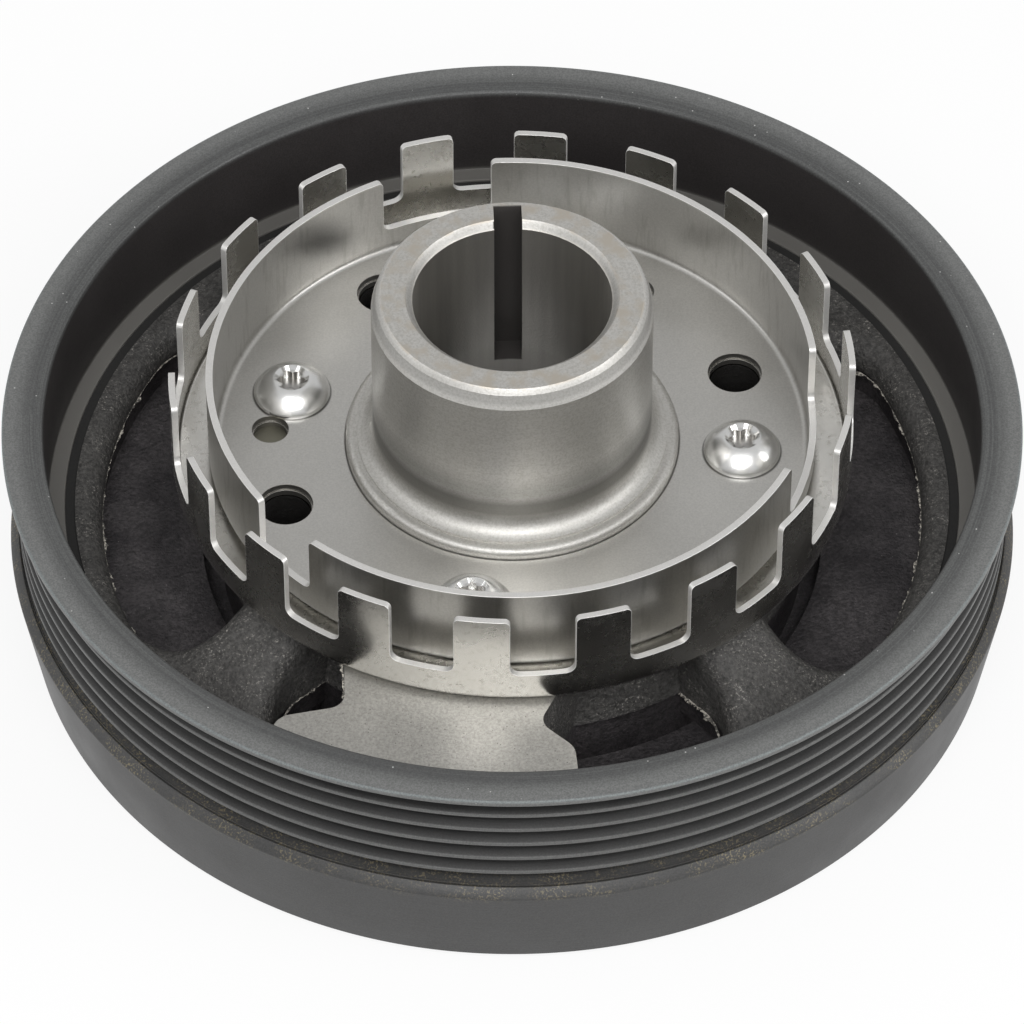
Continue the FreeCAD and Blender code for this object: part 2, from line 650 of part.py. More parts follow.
def hub_casting():
    """One casting: nose, flange, seat, spokes, rim and balance weight."""
    body = new_body("hub_casting")
    hub_blank(body)
    hub_pockets(body)
    seat_milling(body)
    boss_skirt(body)
    boss_slots(body)
    balance_weight(body)
    keyway(body)
    hub_holes(body)
    return body


def sheet_cup(body, name, radius, thickness, bend, bottom, top):
    """A pressed sheet cup: flat floor with a round opening, a bend and an upright wall."""
    opening = "flange_radius + pilot_clearance"
    turned(body, name, [
        (opening, bottom),
        (radius, bottom, bend),
        (radius, top),
        ("%s - %s" % (radius, thickness), top),
        ("%s - %s" % (radius, thickness), "%s + %s" % (bottom, thickness), "%s - %s" % (bend, thickness)),
        (opening, "%s + %s" % (bottom, thickness)),
    ])


def punched_gap(body, name, angle, half_width, bottom, top, floor_round, reach):
    """Cuts a gap into a cup's wall, radially outwards, with round floor corners and blade ends."""
    sketch = new_sketch(body, name + "_outline", "XZ_Plane", turn="%s - 90" % angle)
    wide = "(%s + blade_tip_round * 2)" % half_width
    high = "%s + cut_margin" % top
    outline(sketch, [
        ("-(%s)" % half_width, bottom, floor_round),
        (half_width, bottom, floor_round),
        (half_width, top, "blade_tip_round"),
        (wide, top),
        (wide, high),
        ("-" + wide, high),
        ("-" + wide, top),
        ("-(%s)" % half_width, top, "blade_tip_round"),
    ])
    return milled(body, name, sketch, reach + " + cut_margin")


def floor_holes(body, name, height, thickness, puller, sight):
    """Holes in a cup's floor: for the screws, and two sizes of open hole."""
    sketch = new_sketch(body, name + "_outline", "XY_Plane", height="%s + %s" % (height, thickness))
    for angle in SCREW_ANGLES:
        round_hole(sketch, across("screw_circle", angle), along("screw_circle", angle),
                   "screw_shank + screw_clearance")
    for angle in PULLER_ANGLES:
        round_hole(sketch, across("puller_circle", angle), along("puller_circle", angle), puller)
    for angle in SIGHT_ANGLES:
        round_hole(sketch, across("puller_circle", angle), along("puller_circle", angle), sight)
    milled(body, name, sketch, thickness)


def outer_interrupter_ring():
    """Cup with equal blades, on the hub's seat."""
    body = new_body("outer_interrupter_ring")
    sheet_cup(body, "outer_cup", "outer_cup_radius", "outer_cup_sheet", "outer_cup_bend",
              "seat_height", "outer_cup_top")
    gap = punched_gap(body, "blade_gap", "first_gap_angle",
                      "outer_cup_radius * sin(180 / blade_total - blade_angle / 2)",
                      "gap_bottom", "outer_cup_top", "gap_floor_round", "outer_cup_radius")
    around(body, "blade_gaps", gap, "blade_total")
    floor_holes(body, "outer_floor_holes", "seat_height", "outer_cup_sheet",
                "puller_hole - puller_hole_step", "sight_hole - puller_hole_step")
    return body


def inner_interrupter_ring():
    """Cup with three long blades and three unequal windows, on the floor of the outer one."""
    body = new_body("inner_interrupter_ring")
    bottom = "seat_height + outer_cup_sheet"
    sheet_cup(body, "inner_cup", "inner_cup_radius", "inner_cup_sheet", "inner_cup_bend",
              bottom, "inner_cup_top")
    for size in ("small", "middle", "large"):
        punched_gap(body, size + "_window", size + "_window_angle",
                    "inner_cup_radius * sin(%s_window_span / 2)" % size,
                    "window_bottom", "inner_cup_top", "window_round", "inner_cup_radius")
    floor_holes(body, "inner_floor_holes", bottom, "inner_cup_sheet", "puller_hole", "sight_hole")
    return body


def six_lobes(sketch):
    """The outline of a driver's socket: six round lobes joined by hollow flanks, all tangent.

    The lobes' centres lie on a circle. A flank's centre lies outside, halfway between two of
    them, as far from each as both radii together.
    """
    ring = number("socket_reach - socket_lobe")
    lobe = number("socket_lobe")
    flank = number("socket_flank")
    sixth = math.pi / 3
    half_chord = ring * math.sin(sixth / 2)
    far = ring * math.cos(sixth / 2) + math.sqrt((lobe + flank) ** 2 - half_chord ** 2)
    hubs = [Vector(ring * math.cos(sixth * step), ring * math.sin(sixth * step), 0) for step in range(6)]
    outs = [Vector(far * math.cos(sixth * (step + 0.5)), far * math.sin(sixth * (step + 0.5)), 0)
            for step in range(6)]

    def arc(centre, radius, first, last):
        start = math.atan2(first.y - centre.y, first.x - centre.x)
        stop = math.atan2(last.y - centre.y, last.x - centre.x)
        circle = Part.Circle(centre, Vector(0, 0, 1), radius)
        return sketch.addGeometry(Part.ArcOfCircle(circle, start, stop), False)

    lobes = [arc(hubs[step], lobe, outs[step - 1], outs[step]) for step in range(6)]
    flanks = [arc(outs[step], flank, hubs[(step + 1) % 6], hubs[step]) for step in range(6)]
    for step in range(6):
        constrain(sketch, "Tangent", lobes[step], 2, flanks[step], 2)
        constrain(sketch, "Tangent", flanks[step], 1, lobes[(step + 1) % 6], 1)
        constrain(sketch, "Radius", lobes[step], size="socket_lobe")
        constrain(sketch, "Radius", flanks[step], size="socket_flank")
        turn = 60 * step
        circle = "(socket_reach - socket_lobe)"
        pin_point(sketch, lobes[step], 3, across(circle, turn), "0" if turn % 180 == 0 else along(circle, turn))


def screw(name, angle):
    """A button-head screw with a six-lobe socket, standing on the inner ring's floor.

    The dome is one arc, as large as the head's radius, between the edge and the land.
    """
    body = new_body(name)
    base = "seat_height + outer_cup_sheet + inner_cup_sheet"
    reach = "(screw_head_radius - screw_head_land) * 0.65"
    rise = "(screw_head_height - screw_head_edge) * 0.68"
    turned(body, name + "_turning", [
        ("0", base + " - screw_length"),
        ("screw_shank - screw_clearance", base + " - screw_length"),
        ("screw_shank", base + " - screw_length + screw_clearance"),
        ("screw_shank", base),
        ("screw_head_radius", base),
        ("screw_head_radius", base + " + screw_head_edge"),
        ("screw_head_land + " + reach, base + " + screw_head_edge + " + rise, "screw_head_radius"),
        ("screw_head_land", base + " + screw_head_height"),
        ("0", base + " + screw_head_height"),
    ])
    sketch = new_sketch(body, name + "_socket", "XY_Plane", height=base + " + screw_head_height")
    six_lobes(sketch)
    milled(body, name + "_lobes", sketch, "socket_depth")
    bind(body, "Placement.Base.x", across("screw_circle", angle))
    bind(body, "Placement.Base.y", along("screw_circle", angle))
    return body


def interrupter_screws():
    """The four screws that hold both interrupter rings on the hub's seat."""
    group = doc.addObject("Part::Compound", "interrupter_screws")
    group.Label = "interrupter_screws"
    group.Links = [screw("screw_%d" % index, angle) for index, angle in enumerate(SCREW_ANGLES, 1)]
    group.Placement = Placement()
    doc.recompute()
    return group


SCREW_ANGLES = ["screw_angle_one", "screw_angle_two", "screw_angle_three", "screw_angle_four"]
PULLER_ANGLES = ["puller_angle_one", "puller_angle_two", "puller_angle_three"]
SIGHT_ANGLES = ["sight_angle_one", "sight_angle_two"]

nodes = [
    pulley_ring(),
    damper_rubber(),
    hub_casting(),
    outer_interrupter_ring(),
    inner_interrupter_ring(),
    interrupter_screws(),
]
doc.recompute()

for item in doc.Objects:
    if "Invalid" in item.State or "Error" in item.State:
        raise ValueError("%s did not build: %s" % (item.Name, item.State))
for node in nodes:
    if node.Shape.isNull() or not node.Shape.isValid():
        raise ValueError("%s has no valid shape" % node.Label)

os.makedirs("parts", exist_ok=True)
for node in nodes:
    node.Shape.exportStep("parts/%s.step" % node.Label)
    box = node.Shape.optimalBoundingBox(False)
    print("%-24s %d solids, %8.0f mm3, z %.2f to %.2f, width %.2f" % (
        node.Label, len(node.Shape.Solids), node.Shape.Volume, box.ZMin, box.ZMax, box.XLength))
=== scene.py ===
# %% [markdown]
# # A harmonic balancer, dressed for its picture
#
# The balancer is a crankshaft's front pulley. A heavy grooved ring hangs on rubber round a cast hub, and the hub's
# nose carries two stamped rings whose blades a sensor counts. The solid model gives the shapes. Here each surface
# gets its finish: black coat on iron, bare turned steel, milled iron, bright plated sheet, satin sheet and zinc.

import math

import bmesh
import bpy
import mathutils
import numpy as np
from mathutils import Matrix, Vector


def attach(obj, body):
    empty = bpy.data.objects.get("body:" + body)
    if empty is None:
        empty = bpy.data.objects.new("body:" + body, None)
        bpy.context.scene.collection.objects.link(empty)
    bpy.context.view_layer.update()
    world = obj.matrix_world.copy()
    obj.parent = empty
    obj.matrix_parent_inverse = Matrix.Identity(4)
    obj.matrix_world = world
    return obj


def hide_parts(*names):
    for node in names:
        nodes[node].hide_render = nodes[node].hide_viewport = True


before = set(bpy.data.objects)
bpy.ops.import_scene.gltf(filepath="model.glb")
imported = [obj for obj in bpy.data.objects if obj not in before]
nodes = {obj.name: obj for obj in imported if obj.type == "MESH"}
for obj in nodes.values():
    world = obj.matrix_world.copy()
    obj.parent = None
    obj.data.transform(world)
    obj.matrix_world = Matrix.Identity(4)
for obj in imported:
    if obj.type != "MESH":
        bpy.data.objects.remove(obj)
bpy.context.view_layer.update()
MM = 0.001
print("nodes:", ", ".join(sorted(nodes)))

# %% [markdown]
# ## The camera
#
# The picture was taken from far away with a long lens, so the circles stay nearly true ellipses. Their shapes give
# the camera's height angle, and the shrinking of the far circles gives its distance. A camera can be turned by
# pointing at a target or by writing its axes into a matrix. The matrix is used because it also holds the tiny roll.

# %% Place the camera
IMAGE_WIDTH = 1024
FOCAL_PIXELS = 6830.1
CAMERA_DISTANCE = 1.2
CAMERA_ELEVATION = math.radians(46.95)
CAMERA_RISE = 12.95 * MM
CAMERA_ROLL = math.radians(0.08)


def camera_matrix():
    """Axes: right is +X, forward looks along +Y and down by the elevation, up is square to both."""
    right = Vector((1, 0, 0))
    forward = Vector((0, math.cos(CAMERA_ELEVATION), -math.sin(CAMERA_ELEVATION)))
    up = right.cross(forward)
    place = -CAMERA_DISTANCE * forward + CAMERA_RISE * up
    axes = Matrix((right, up, -forward)).transposed().to_4x4()
    return Matrix.Translation(place) @ axes @ Matrix.Rotation(CAMERA_ROLL, 4, "Z")


camera_data = bpy.data.cameras.new("photo_camera")
camera_data.sensor_width = 36.0
camera_data.lens = camera_data.sensor_width * FOCAL_PIXELS / IMAGE_WIDTH
camera_data.clip_end = 20.0
camera = bpy.data.objects.new("photo_camera", camera_data)
bpy.context.scene.collection.objects.link(camera)
camera.matrix_world = camera_matrix()
bpy.context.scene.camera = camera
bpy.context.scene.view_settings.view_transform = "Standard"
print("lens %.1f mm, camera at" % camera_data.lens, [round(v, 3) for v in camera.matrix_world.translation])

# %% [markdown]
# ## Floor and light
#
# The picture's background is pure white. More lamps would whiten the floor, but they would bleach the object too. So
# the floor is a plain pale sheet that glows only for the camera's rays and for reflections. A part of its own
# shading stays, which keeps the soft shadow under the ring. The room glows white for the camera alone.

# %% Lay the floor


def shader_tree(name):
    """A new material, its node tree and its surface shader."""
    material = bpy.data.materials.new(name)
    material.use_nodes = True
    tree = material.node_tree
    return material, tree, tree.nodes["Principled BSDF"]


FLOOR_SIZE = 6.0
FLOOR_DROP = 0.05 * MM
FLOOR_GLOW = 0.86


def white_floor():
    """Pale and matt, and 86 percent glowing white for the camera and for what shines or lets light through."""
    material, tree, shader = shader_tree("white_sweep")
    shader.inputs["Base Color"].default_value = (0.86, 0.86, 0.86, 1)
    shader.inputs["Roughness"].default_value = 0.9
    shader.inputs["Specular IOR Level"].default_value = 0.0
    glow = tree.nodes.new("ShaderNodeEmission")
    glow.inputs["Strength"].default_value = 1.0
    path = tree.nodes.new("ShaderNodeLightPath")
    seen = path.outputs["Is Camera Ray"]
    for ray in ("Is Glossy Ray", "Is Transmission Ray"):
        either = tree.nodes.new("ShaderNodeMath")
        either.operation = "MAXIMUM"
        tree.links.new(seen, either.inputs[0])
        tree.links.new(path.outputs[ray], either.inputs[1])
        seen = either.outputs[0]
    share = tree.nodes.new("ShaderNodeMath")
    share.operation = "MULTIPLY"
    share.inputs[1].default_value = FLOOR_GLOW
    tree.links.new(seen, share.inputs[0])
    mix = tree.nodes.new("ShaderNodeMixShader")
    tree.links.new(share.outputs[0], mix.inputs[0])
    tree.links.new(shader.outputs[0], mix.inputs[1])
    tree.links.new(glow.outputs[0], mix.inputs[2])
    tree.links.new(mix.outputs[0], tree.nodes["Material Output"].inputs["Surface"])
    return material


half = FLOOR_SIZE / 2
floor_mesh = bpy.data.meshes.new("floor")
floor_mesh.from_pydata([(-half, -half, -FLOOR_DROP), (half, -half, -FLOOR_DROP), (half, half, -FLOOR_DROP),
                        (-half, half, -FLOOR_DROP)], [], [(0, 1, 2, 3)])
floor_mesh.materials.append(white_floor())
floor = bpy.data.objects.new("floor", floor_mesh)
bpy.context.scene.collection.objects.link(floor)
print("floor %.1f m wide" % FLOOR_SIZE)

# %% Light the object
WORLD_LIGHT = 0.58
LAMP_TARGET = Vector((0, 0, 30 * MM))


def white_world():
    """White for the camera, and a weaker even light from all sides for the object."""
    world = bpy.data.worlds.new("white_room")
    world.use_nodes = True
    tree = world.node_tree
    ground = tree.nodes["Background"]
    ground.inputs["Color"].default_value = (1, 1, 1, 1)
    path = tree.nodes.new("ShaderNodeLightPath")
    level = tree.nodes.new("ShaderNodeMapRange")
    level.inputs["To Min"].default_value = WORLD_LIGHT
    level.inputs["To Max"].default_value = 1.0
    tree.links.new(path.outputs["Is Camera Ray"], level.inputs["Value"])
    tree.links.new(level.outputs[0], ground.inputs["Strength"])
    return world


def soft_box(name, place, width, depth, power):
    """A flat lamp that looks at the middle of the object. Sizes in metres, power in watts."""
    data = bpy.data.lights.new(name, "AREA")
    data.shape = "RECTANGLE"
    data.size = width
    data.size_y = depth
    data.energy = power
    lamp = bpy.data.objects.new(name, data)
    lamp.location = place
    lamp.rotation_euler = (LAMP_TARGET - Vector(place)).to_track_quat("-Z", "Y").to_euler()
    bpy.context.scene.collection.objects.link(lamp)


bpy.context.scene.world = white_world()
soft_box("front_box", (0.0, -0.75, 0.95), 0.9, 0.6, 8.0)
soft_box("left_box", (-1.0, -0.1, 0.6), 0.6, 0.5, 1.6)
soft_box("right_box", (1.0, -0.3, 0.6), 0.5, 0.5, 4.2)
print("three soft boxes and a white room")

# %% [markdown]
# ## Helpers for the finishes
#
# Every finish is worked out from the place on the object: the distance from the bore's axis, the height, and the
# angle round the axis. Image textures would need each piece unwrapped, and the place is there anyway. A node tree
# written link by link is hard to read, so a few short helpers turn each step into one line.

# %% Node helpers


class Finish:
    """Builds one material from small steps. Lengths are in millimetres."""

    def __init__(self, name):
        self.material, self.tree, self.shader = shader_tree(name)
        coordinate = self.tree.nodes.new("ShaderNodeTexCoord")
        scaled = self.tree.nodes.new("ShaderNodeVectorMath")
        scaled.operation = "SCALE"
        scaled.inputs["Scale"].default_value = 1 / MM
        self.tree.links.new(coordinate.outputs["Object"], scaled.inputs[0])
        self.place = scaled.outputs[0]
        parts = self.tree.nodes.new("ShaderNodeSeparateXYZ")
        self.tree.links.new(self.place, parts.inputs[0])
        self.x, self.y, self.height = parts.outputs
        squares = self.math("ADD", self.math("MULTIPLY", self.x, self.x), self.math("MULTIPLY", self.y, self.y))
        self.radius = self.math("SQRT", squares)
        self.bumps = None

    def feed(self, socket, value):
        """Links an output to a socket, or writes a plain number or colour into it."""
        if isinstance(value, bpy.types.NodeSocket):
            self.tree.links.new(value, socket)
        elif isinstance(value, tuple):
            socket.default_value = (*value, 1)[:len(socket.default_value)]
        else:
            socket.default_value = value

    def math(self, operation, *values):
        """One sum, product or other step of arithmetic."""
        node = self.tree.nodes.new("ShaderNodeMath")
        node.operation = operation
        for socket, value in zip(node.inputs, values):
            self.feed(socket, value)
        return node.outputs[0]

    def band(self, value, low, high, blur):
        """One where the value lies between low and high, fading over blur at each end."""
        rise = self.ramp(value, low - blur, low + blur)
        fall = self.ramp(value, high - blur, high + blur)
        return self.math("SUBTRACT", rise, fall)

    def ramp(self, value, start, stop, low=0.0, high=1.0):
        """Maps start..stop to low..high in a straight line, held at both ends."""
        node = self.tree.nodes.new("ShaderNodeMapRange")
        for socket, number in zip(node.inputs, (value, start, stop, low, high)):
            self.feed(socket, number)
        return node.outputs[0]

    def ring_place(self, along, across, up):
        """Radius, angle and height as a place: turned marks stay round the axis."""
        angle = self.math("ARCTAN2", self.y, self.x)
        node = self.tree.nodes.new("ShaderNodeCombineXYZ")
        self.feed(node.inputs[0], self.math("MULTIPLY", self.radius, across))
        self.feed(node.inputs[1], self.math("MULTIPLY", angle, along))
        self.feed(node.inputs[2], self.math("MULTIPLY", self.height, up))
        return node.outputs[0]

    def away_from(self, x, y):
        """Distance from an upright line at x, y."""
        aside = self.math("SUBTRACT", self.x, x)
        along = self.math("SUBTRACT", self.y, y)
        return self.math("SQRT", self.math("ADD", self.math("MULTIPLY", aside, aside),
                                           self.math("MULTIPLY", along, along)))

    def noise(self, grain, place=None, detail=3.0, rough=0.55):
        """Smooth noise whose blobs are about grain millimetres wide."""
        node = self.tree.nodes.new("ShaderNodeTexNoise")
        self.feed(node.inputs["Vector"], place or self.place)
        node.inputs["Scale"].default_value = 1 / grain
        node.inputs["Detail"].default_value = detail
        node.inputs["Roughness"].default_value = rough
        return node.outputs["Fac"]

    def specks(self, spacing, size):
        """One inside small round specks, each somewhere in a cell of the given spacing."""
        node = self.tree.nodes.new("ShaderNodeTexVoronoi")
        self.feed(node.inputs["Vector"], self.place)
        node.inputs["Scale"].default_value = 1 / spacing
        near = size / spacing
        return self.ramp(node.outputs["Distance"], near, near * 0.6)

    def blend(self, share, first, second):
        """A colour between two, by share."""
        node = self.tree.nodes.new("ShaderNodeMix")
        node.data_type = "RGBA"
        self.feed(node.inputs["Factor"], share)
        self.feed(node.inputs[6], first)
        self.feed(node.inputs[7], second)
        return node.outputs[2]

    def scaled(self, colour, factor):
        """A colour times a number."""
        node = self.tree.nodes.new("ShaderNodeVectorMath")
        node.operation = "SCALE"
        self.feed(node.inputs[0], colour)
        self.feed(node.inputs["Scale"], factor)
        return node.outputs[0]

    def relief(self, value, depth, strength=1.0):
        """Bumps of the given depth in millimetres; several can be chained."""
        node = self.tree.nodes.new("ShaderNodeBump")
        node.inputs["Strength"].default_value = strength
        node.inputs["Distance"].default_value = depth * MM
        self.feed(node.inputs["Height"], value)
        if self.bumps is not None:
            self.tree.links.new(self.bumps, node.inputs["Normal"])
        self.bumps = node.outputs[0]

    def done(self, colour, rough, metal=0.0):
        """Joins colour, roughness, share of metal and bumps to the shader."""
        self.feed(self.shader.inputs["Base Color"], colour)
        self.feed(self.shader.inputs["Roughness"], rough)
        self.feed(self.shader.inputs["Metallic"], metal)
        if self.bumps is not None:
            self.tree.links.new(self.bumps, self.shader.inputs["Normal"])
        return self.material


def on_circle(radius, degrees):
    """The place (radius * cosine, radius * sine) of an angle."""
    return radius * math.cos(math.radians(degrees)), radius * math.sin(math.radians(degrees))


def dress(node_name, material):
    """Puts one material into every slot of a node of the frame."""
    for slot in nodes[node_name].material_slots:
        slot.material = material
    print(node_name, "wears", material.name)


# %% [markdown]
# ## Shared sizes
#
# A finish finds its place by height and radius, and the fine surfaces further on are drawn with the same heights and
# radii. They could be typed into each step, but then a finish could slip off its edge. So they stand here once, in
# millimetres and degrees, as the solid model has them.

# %% Sizes that finishes and surfaces share
RING_HEIGHT = 43.3
LIP_RADIUS = 87.26
WELL_RADIUS = 80.2
LEDGE_HEIGHT = 24.4
RIDGE_RADIUS = 85.3
GROOVES_FOOT = 20.6
GROOVES_HEAD = 40.6
SEAT_HEIGHT = 35.4
PARTING_HEIGHT = 20.0
NOSE_HEIGHT = 72.5
NOSE_FOOT_RADIUS = 28.8
BORE_RADIUS = 16.85
INNER_CUP_TOP = 54.1
SCREW_CIRCLE = 39.5
SCREW_ANGLES = (260.4, 355.5, 80.0, 164.3)
HOLE_CIRCLE = 41.6
LARGE_HOLES = [(22.05, 4.65), (122.8, 4.65), (202.3, 4.65)]
SMALL_HOLES = [(58.6, 3.15), (177.4, 3.15)]
print("screws at", SCREW_ANGLES, "degrees, open holes at", [angle for angle, _ in LARGE_HOLES + SMALL_HOLES])

# %% [markdown]
# ## Black coat on the belt ring
#
# The ring is turned from cast iron and coated black. Fine rings from the tool still show through on the lip, whose
# outer half is a little lighter than its inner half. Small pale specks lie on it, and brown dust sits under the last
# groove. The well's wall has a warm dark tone. The ridge tips and the lip's outer edge get painted highlights, and
# the grooves are painted darker as shade. One black for the whole ring would look like plastic, so each zone is
# found by its height and radius and gets its own tone, under one wide soft shine.

# %% Belt ring's finish


def ring_coat():
    """Black coat, with a paler lip and ledge, painted highlights on the ridge tips and the lip's edge, painted shade
    in the grooves, chips, and dust under the last groove.
    """
    coat = Finish("ring_coat")
    cloud = coat.noise(14.0, detail=4.0)
    grain = coat.noise(0.35, detail=2.0)
    colour = coat.blend(cloud, (0.030, 0.030, 0.030), (0.046, 0.045, 0.044))
    # Painted highlight: the ridge tips between the grooves are painted paler.
    ridge_highlight = coat.math("MULTIPLY", coat.ramp(coat.radius, RIDGE_RADIUS - 0.25, RIDGE_RADIUS - 0.05),
                      coat.ramp(coat.height, GROOVES_FOOT - 0.2, GROOVES_FOOT + 0.2))
    colour = coat.blend(ridge_highlight, colour, (0.085, 0.085, 0.083))
    inside = coat.ramp(coat.radius, WELL_RADIUS + 0.4, WELL_RADIUS - 0.3)
    colour = coat.blend(inside, colour, (0.024, 0.019, 0.019))
    lip = coat.ramp(coat.height, RING_HEIGHT - 1.3, RING_HEIGHT - 0.3)
    rim = coat.ramp(coat.radius, 82.6, 85.4)
    lip_colour = coat.blend(rim, (0.060, 0.061, 0.061), (0.128, 0.130, 0.128))
    rings = coat.noise(1.0, coat.ring_place(1.2, 3.4, 0.4), detail=3.0)
    lip_colour = coat.blend(coat.ramp(rings, 0.45, 0.75, 0.0, 0.5), lip_colour, (0.13, 0.135, 0.13))
    colour = coat.blend(lip, colour, lip_colour)
    # Painted highlight: a thin pale line painted on the lip's rounded outer edge.
    edge = coat.math("MULTIPLY", coat.ramp(coat.radius, LIP_RADIUS - 0.41, LIP_RADIUS - 0.21),
                     coat.ramp(coat.height, RING_HEIGHT - 0.4, RING_HEIGHT - 0.25))
    colour = coat.blend(edge, colour, (0.15, 0.165, 0.165))
    chips = coat.math("MULTIPLY", lip, coat.specks(2.6, 0.16))
    colour = coat.blend(chips, colour, (0.42, 0.42, 0.41))
    fine = coat.ramp(coat.noise(0.3, detail=3.0, rough=0.7), 0.38, 0.62, 0.78, 1.22)
    colour = coat.scaled(colour, fine)
    # Painted shade: the grooves are painted darker, down to 0.42 of the coat's colour.
    groove = coat.math("MULTIPLY", coat.band(coat.height, GROOVES_FOOT, GROOVES_HEAD, 0.1),
                       coat.band(coat.radius, 81.5, 84.75, 0.35))
    colour = coat.scaled(colour, coat.ramp(groove, 0.0, 1.0, 1.0, 0.42))
    dust = coat.math("MULTIPLY", coat.band(coat.height, GROOVES_FOOT - 3.0, GROOVES_FOOT + 0.6, 0.7),
                     coat.ramp(coat.noise(0.38, detail=2.0), 0.54, 0.62))
    dust = coat.math("MULTIPLY", dust, coat.ramp(coat.noise(5.0), 0.38, 0.62))
    colour = coat.blend(dust, colour, (0.15, 0.128, 0.082))
    ledge = coat.math("MULTIPLY", coat.ramp(coat.height, LEDGE_HEIGHT + 0.8, LEDGE_HEIGHT + 0.2), inside)
    colour = coat.blend(ledge, colour, (0.14, 0.135, 0.125))
    rough = coat.ramp(cloud, 0.3, 0.7, 0.40, 0.52)
    turned = coat.noise(1.0, coat.ring_place(2.0, 3.2, 2.4), detail=2.0)
    coat.relief(turned, 0.05, 0.35)
    coat.relief(grain, 0.03, 0.5)
    return coat.done(colour, rough)


ring_coat_material = ring_coat()
dress("pulley_ring", ring_coat_material)

# %% [markdown]
# ## Rubber
#
# The rubber sleeve holds the ring on the hub and shows only as a thin line. Rubber takes no polish, so it is dull and
# almost black, with a fine grain that breaks up the little light it gives back.

# %% Rubber's finish


def rubber():
    """Dull black with a fine grain."""
    sleeve = Finish("damper_rubber")
    grain = sleeve.noise(0.6)
    sleeve.relief(grain, 0.06)
    return sleeve.done(sleeve.blend(grain, (0.012, 0.012, 0.012), (0.022, 0.021, 0.020)), 0.8)


dress("damper_rubber", rubber())

# %% [markdown]
# ## The hub casting
#
# One casting carries three finishes. Below the seat it has the rough skin of the sand mould under black coat. On the
# spokes' sides above the mould's parting line the skin is painted paler as light, with pale grit that is partly
# painted glint, and below it the pockets are painted dark as shade. The balance weight is milled bare at the height
# of the seat. The nose is turned and ground, with a dark blind keyway, and its side, flange and bore carry painted
# light and shade; the deep holes are painted dark as shade. The height alone tells coated iron from bare metal, and
# the radius tells nose from weight.

# %% The casting's skin


def casting_skin(hub):
    """Coated sand skin, mottled: painted dark as shade in the pockets' depths, painted paler as light on the spokes
    above the parting line, with pale grit there that is partly sand and partly painted glint.
    """
    cloud = hub.noise(9.0, detail=4.0)
    skin = hub.blend(hub.ramp(cloud, 0.35, 0.65), (0.024, 0.021, 0.023), (0.062, 0.056, 0.058))
    dust = hub.math("MULTIPLY", hub.specks(1.3, 0.11), hub.ramp(hub.noise(8.0), 0.40, 0.60))
    skin = hub.blend(dust, skin, (0.22, 0.21, 0.20))
    # Painted light and shade: above the parting line the skin is painted paler, as light on the spokes, and the
    # pockets below keep a darker skin.
    above = hub.ramp(hub.height, PARTING_HEIGHT - 0.3, PARTING_HEIGHT + 0.5)
    upper = hub.blend(cloud, (0.050, 0.048, 0.046), (0.082, 0.079, 0.075))
    skin = hub.blend(above, skin, upper)
    # Pale grit above the parting line: sand grains, partly painted glints.
    grit = hub.ramp(hub.noise(0.42, detail=3.0, rough=0.7), 0.57, 0.66)
    where = hub.ramp(hub.noise(5.0), 0.40, 0.62)
    gritty = hub.math("MULTIPLY", hub.math("MULTIPLY", grit, where), above)
    skin = hub.blend(gritty, skin, (0.30, 0.285, 0.26))
    pits = hub.ramp(hub.noise(0.8, detail=4.0, rough=0.75), 0.36, 0.64, 0.5, 1.45)
    return hub.scaled(skin, pits)


# %% Bare iron


def milled_iron(hub):
    """Grey with dark pores. It is darker on the seat, where the interrupter rings keep the light off."""
    cloud = hub.ramp(hub.noise(0.4, detail=4.0, rough=0.7), 0.35, 0.65)
    milled = hub.blend(cloud, (0.36, 0.35, 0.33), (0.53, 0.52, 0.49))
    milled = hub.blend(hub.specks(1.1, 0.13), milled, (0.19, 0.18, 0.17))
    seat = hub.math("MULTIPLY", hub.ramp(hub.radius, 50.0, 49.5),
                    hub.ramp(hub.height, SEAT_HEIGHT + 0.2, SEAT_HEIGHT + 0.1))
    return hub.blend(seat, milled, (0.27, 0.26, 0.21))


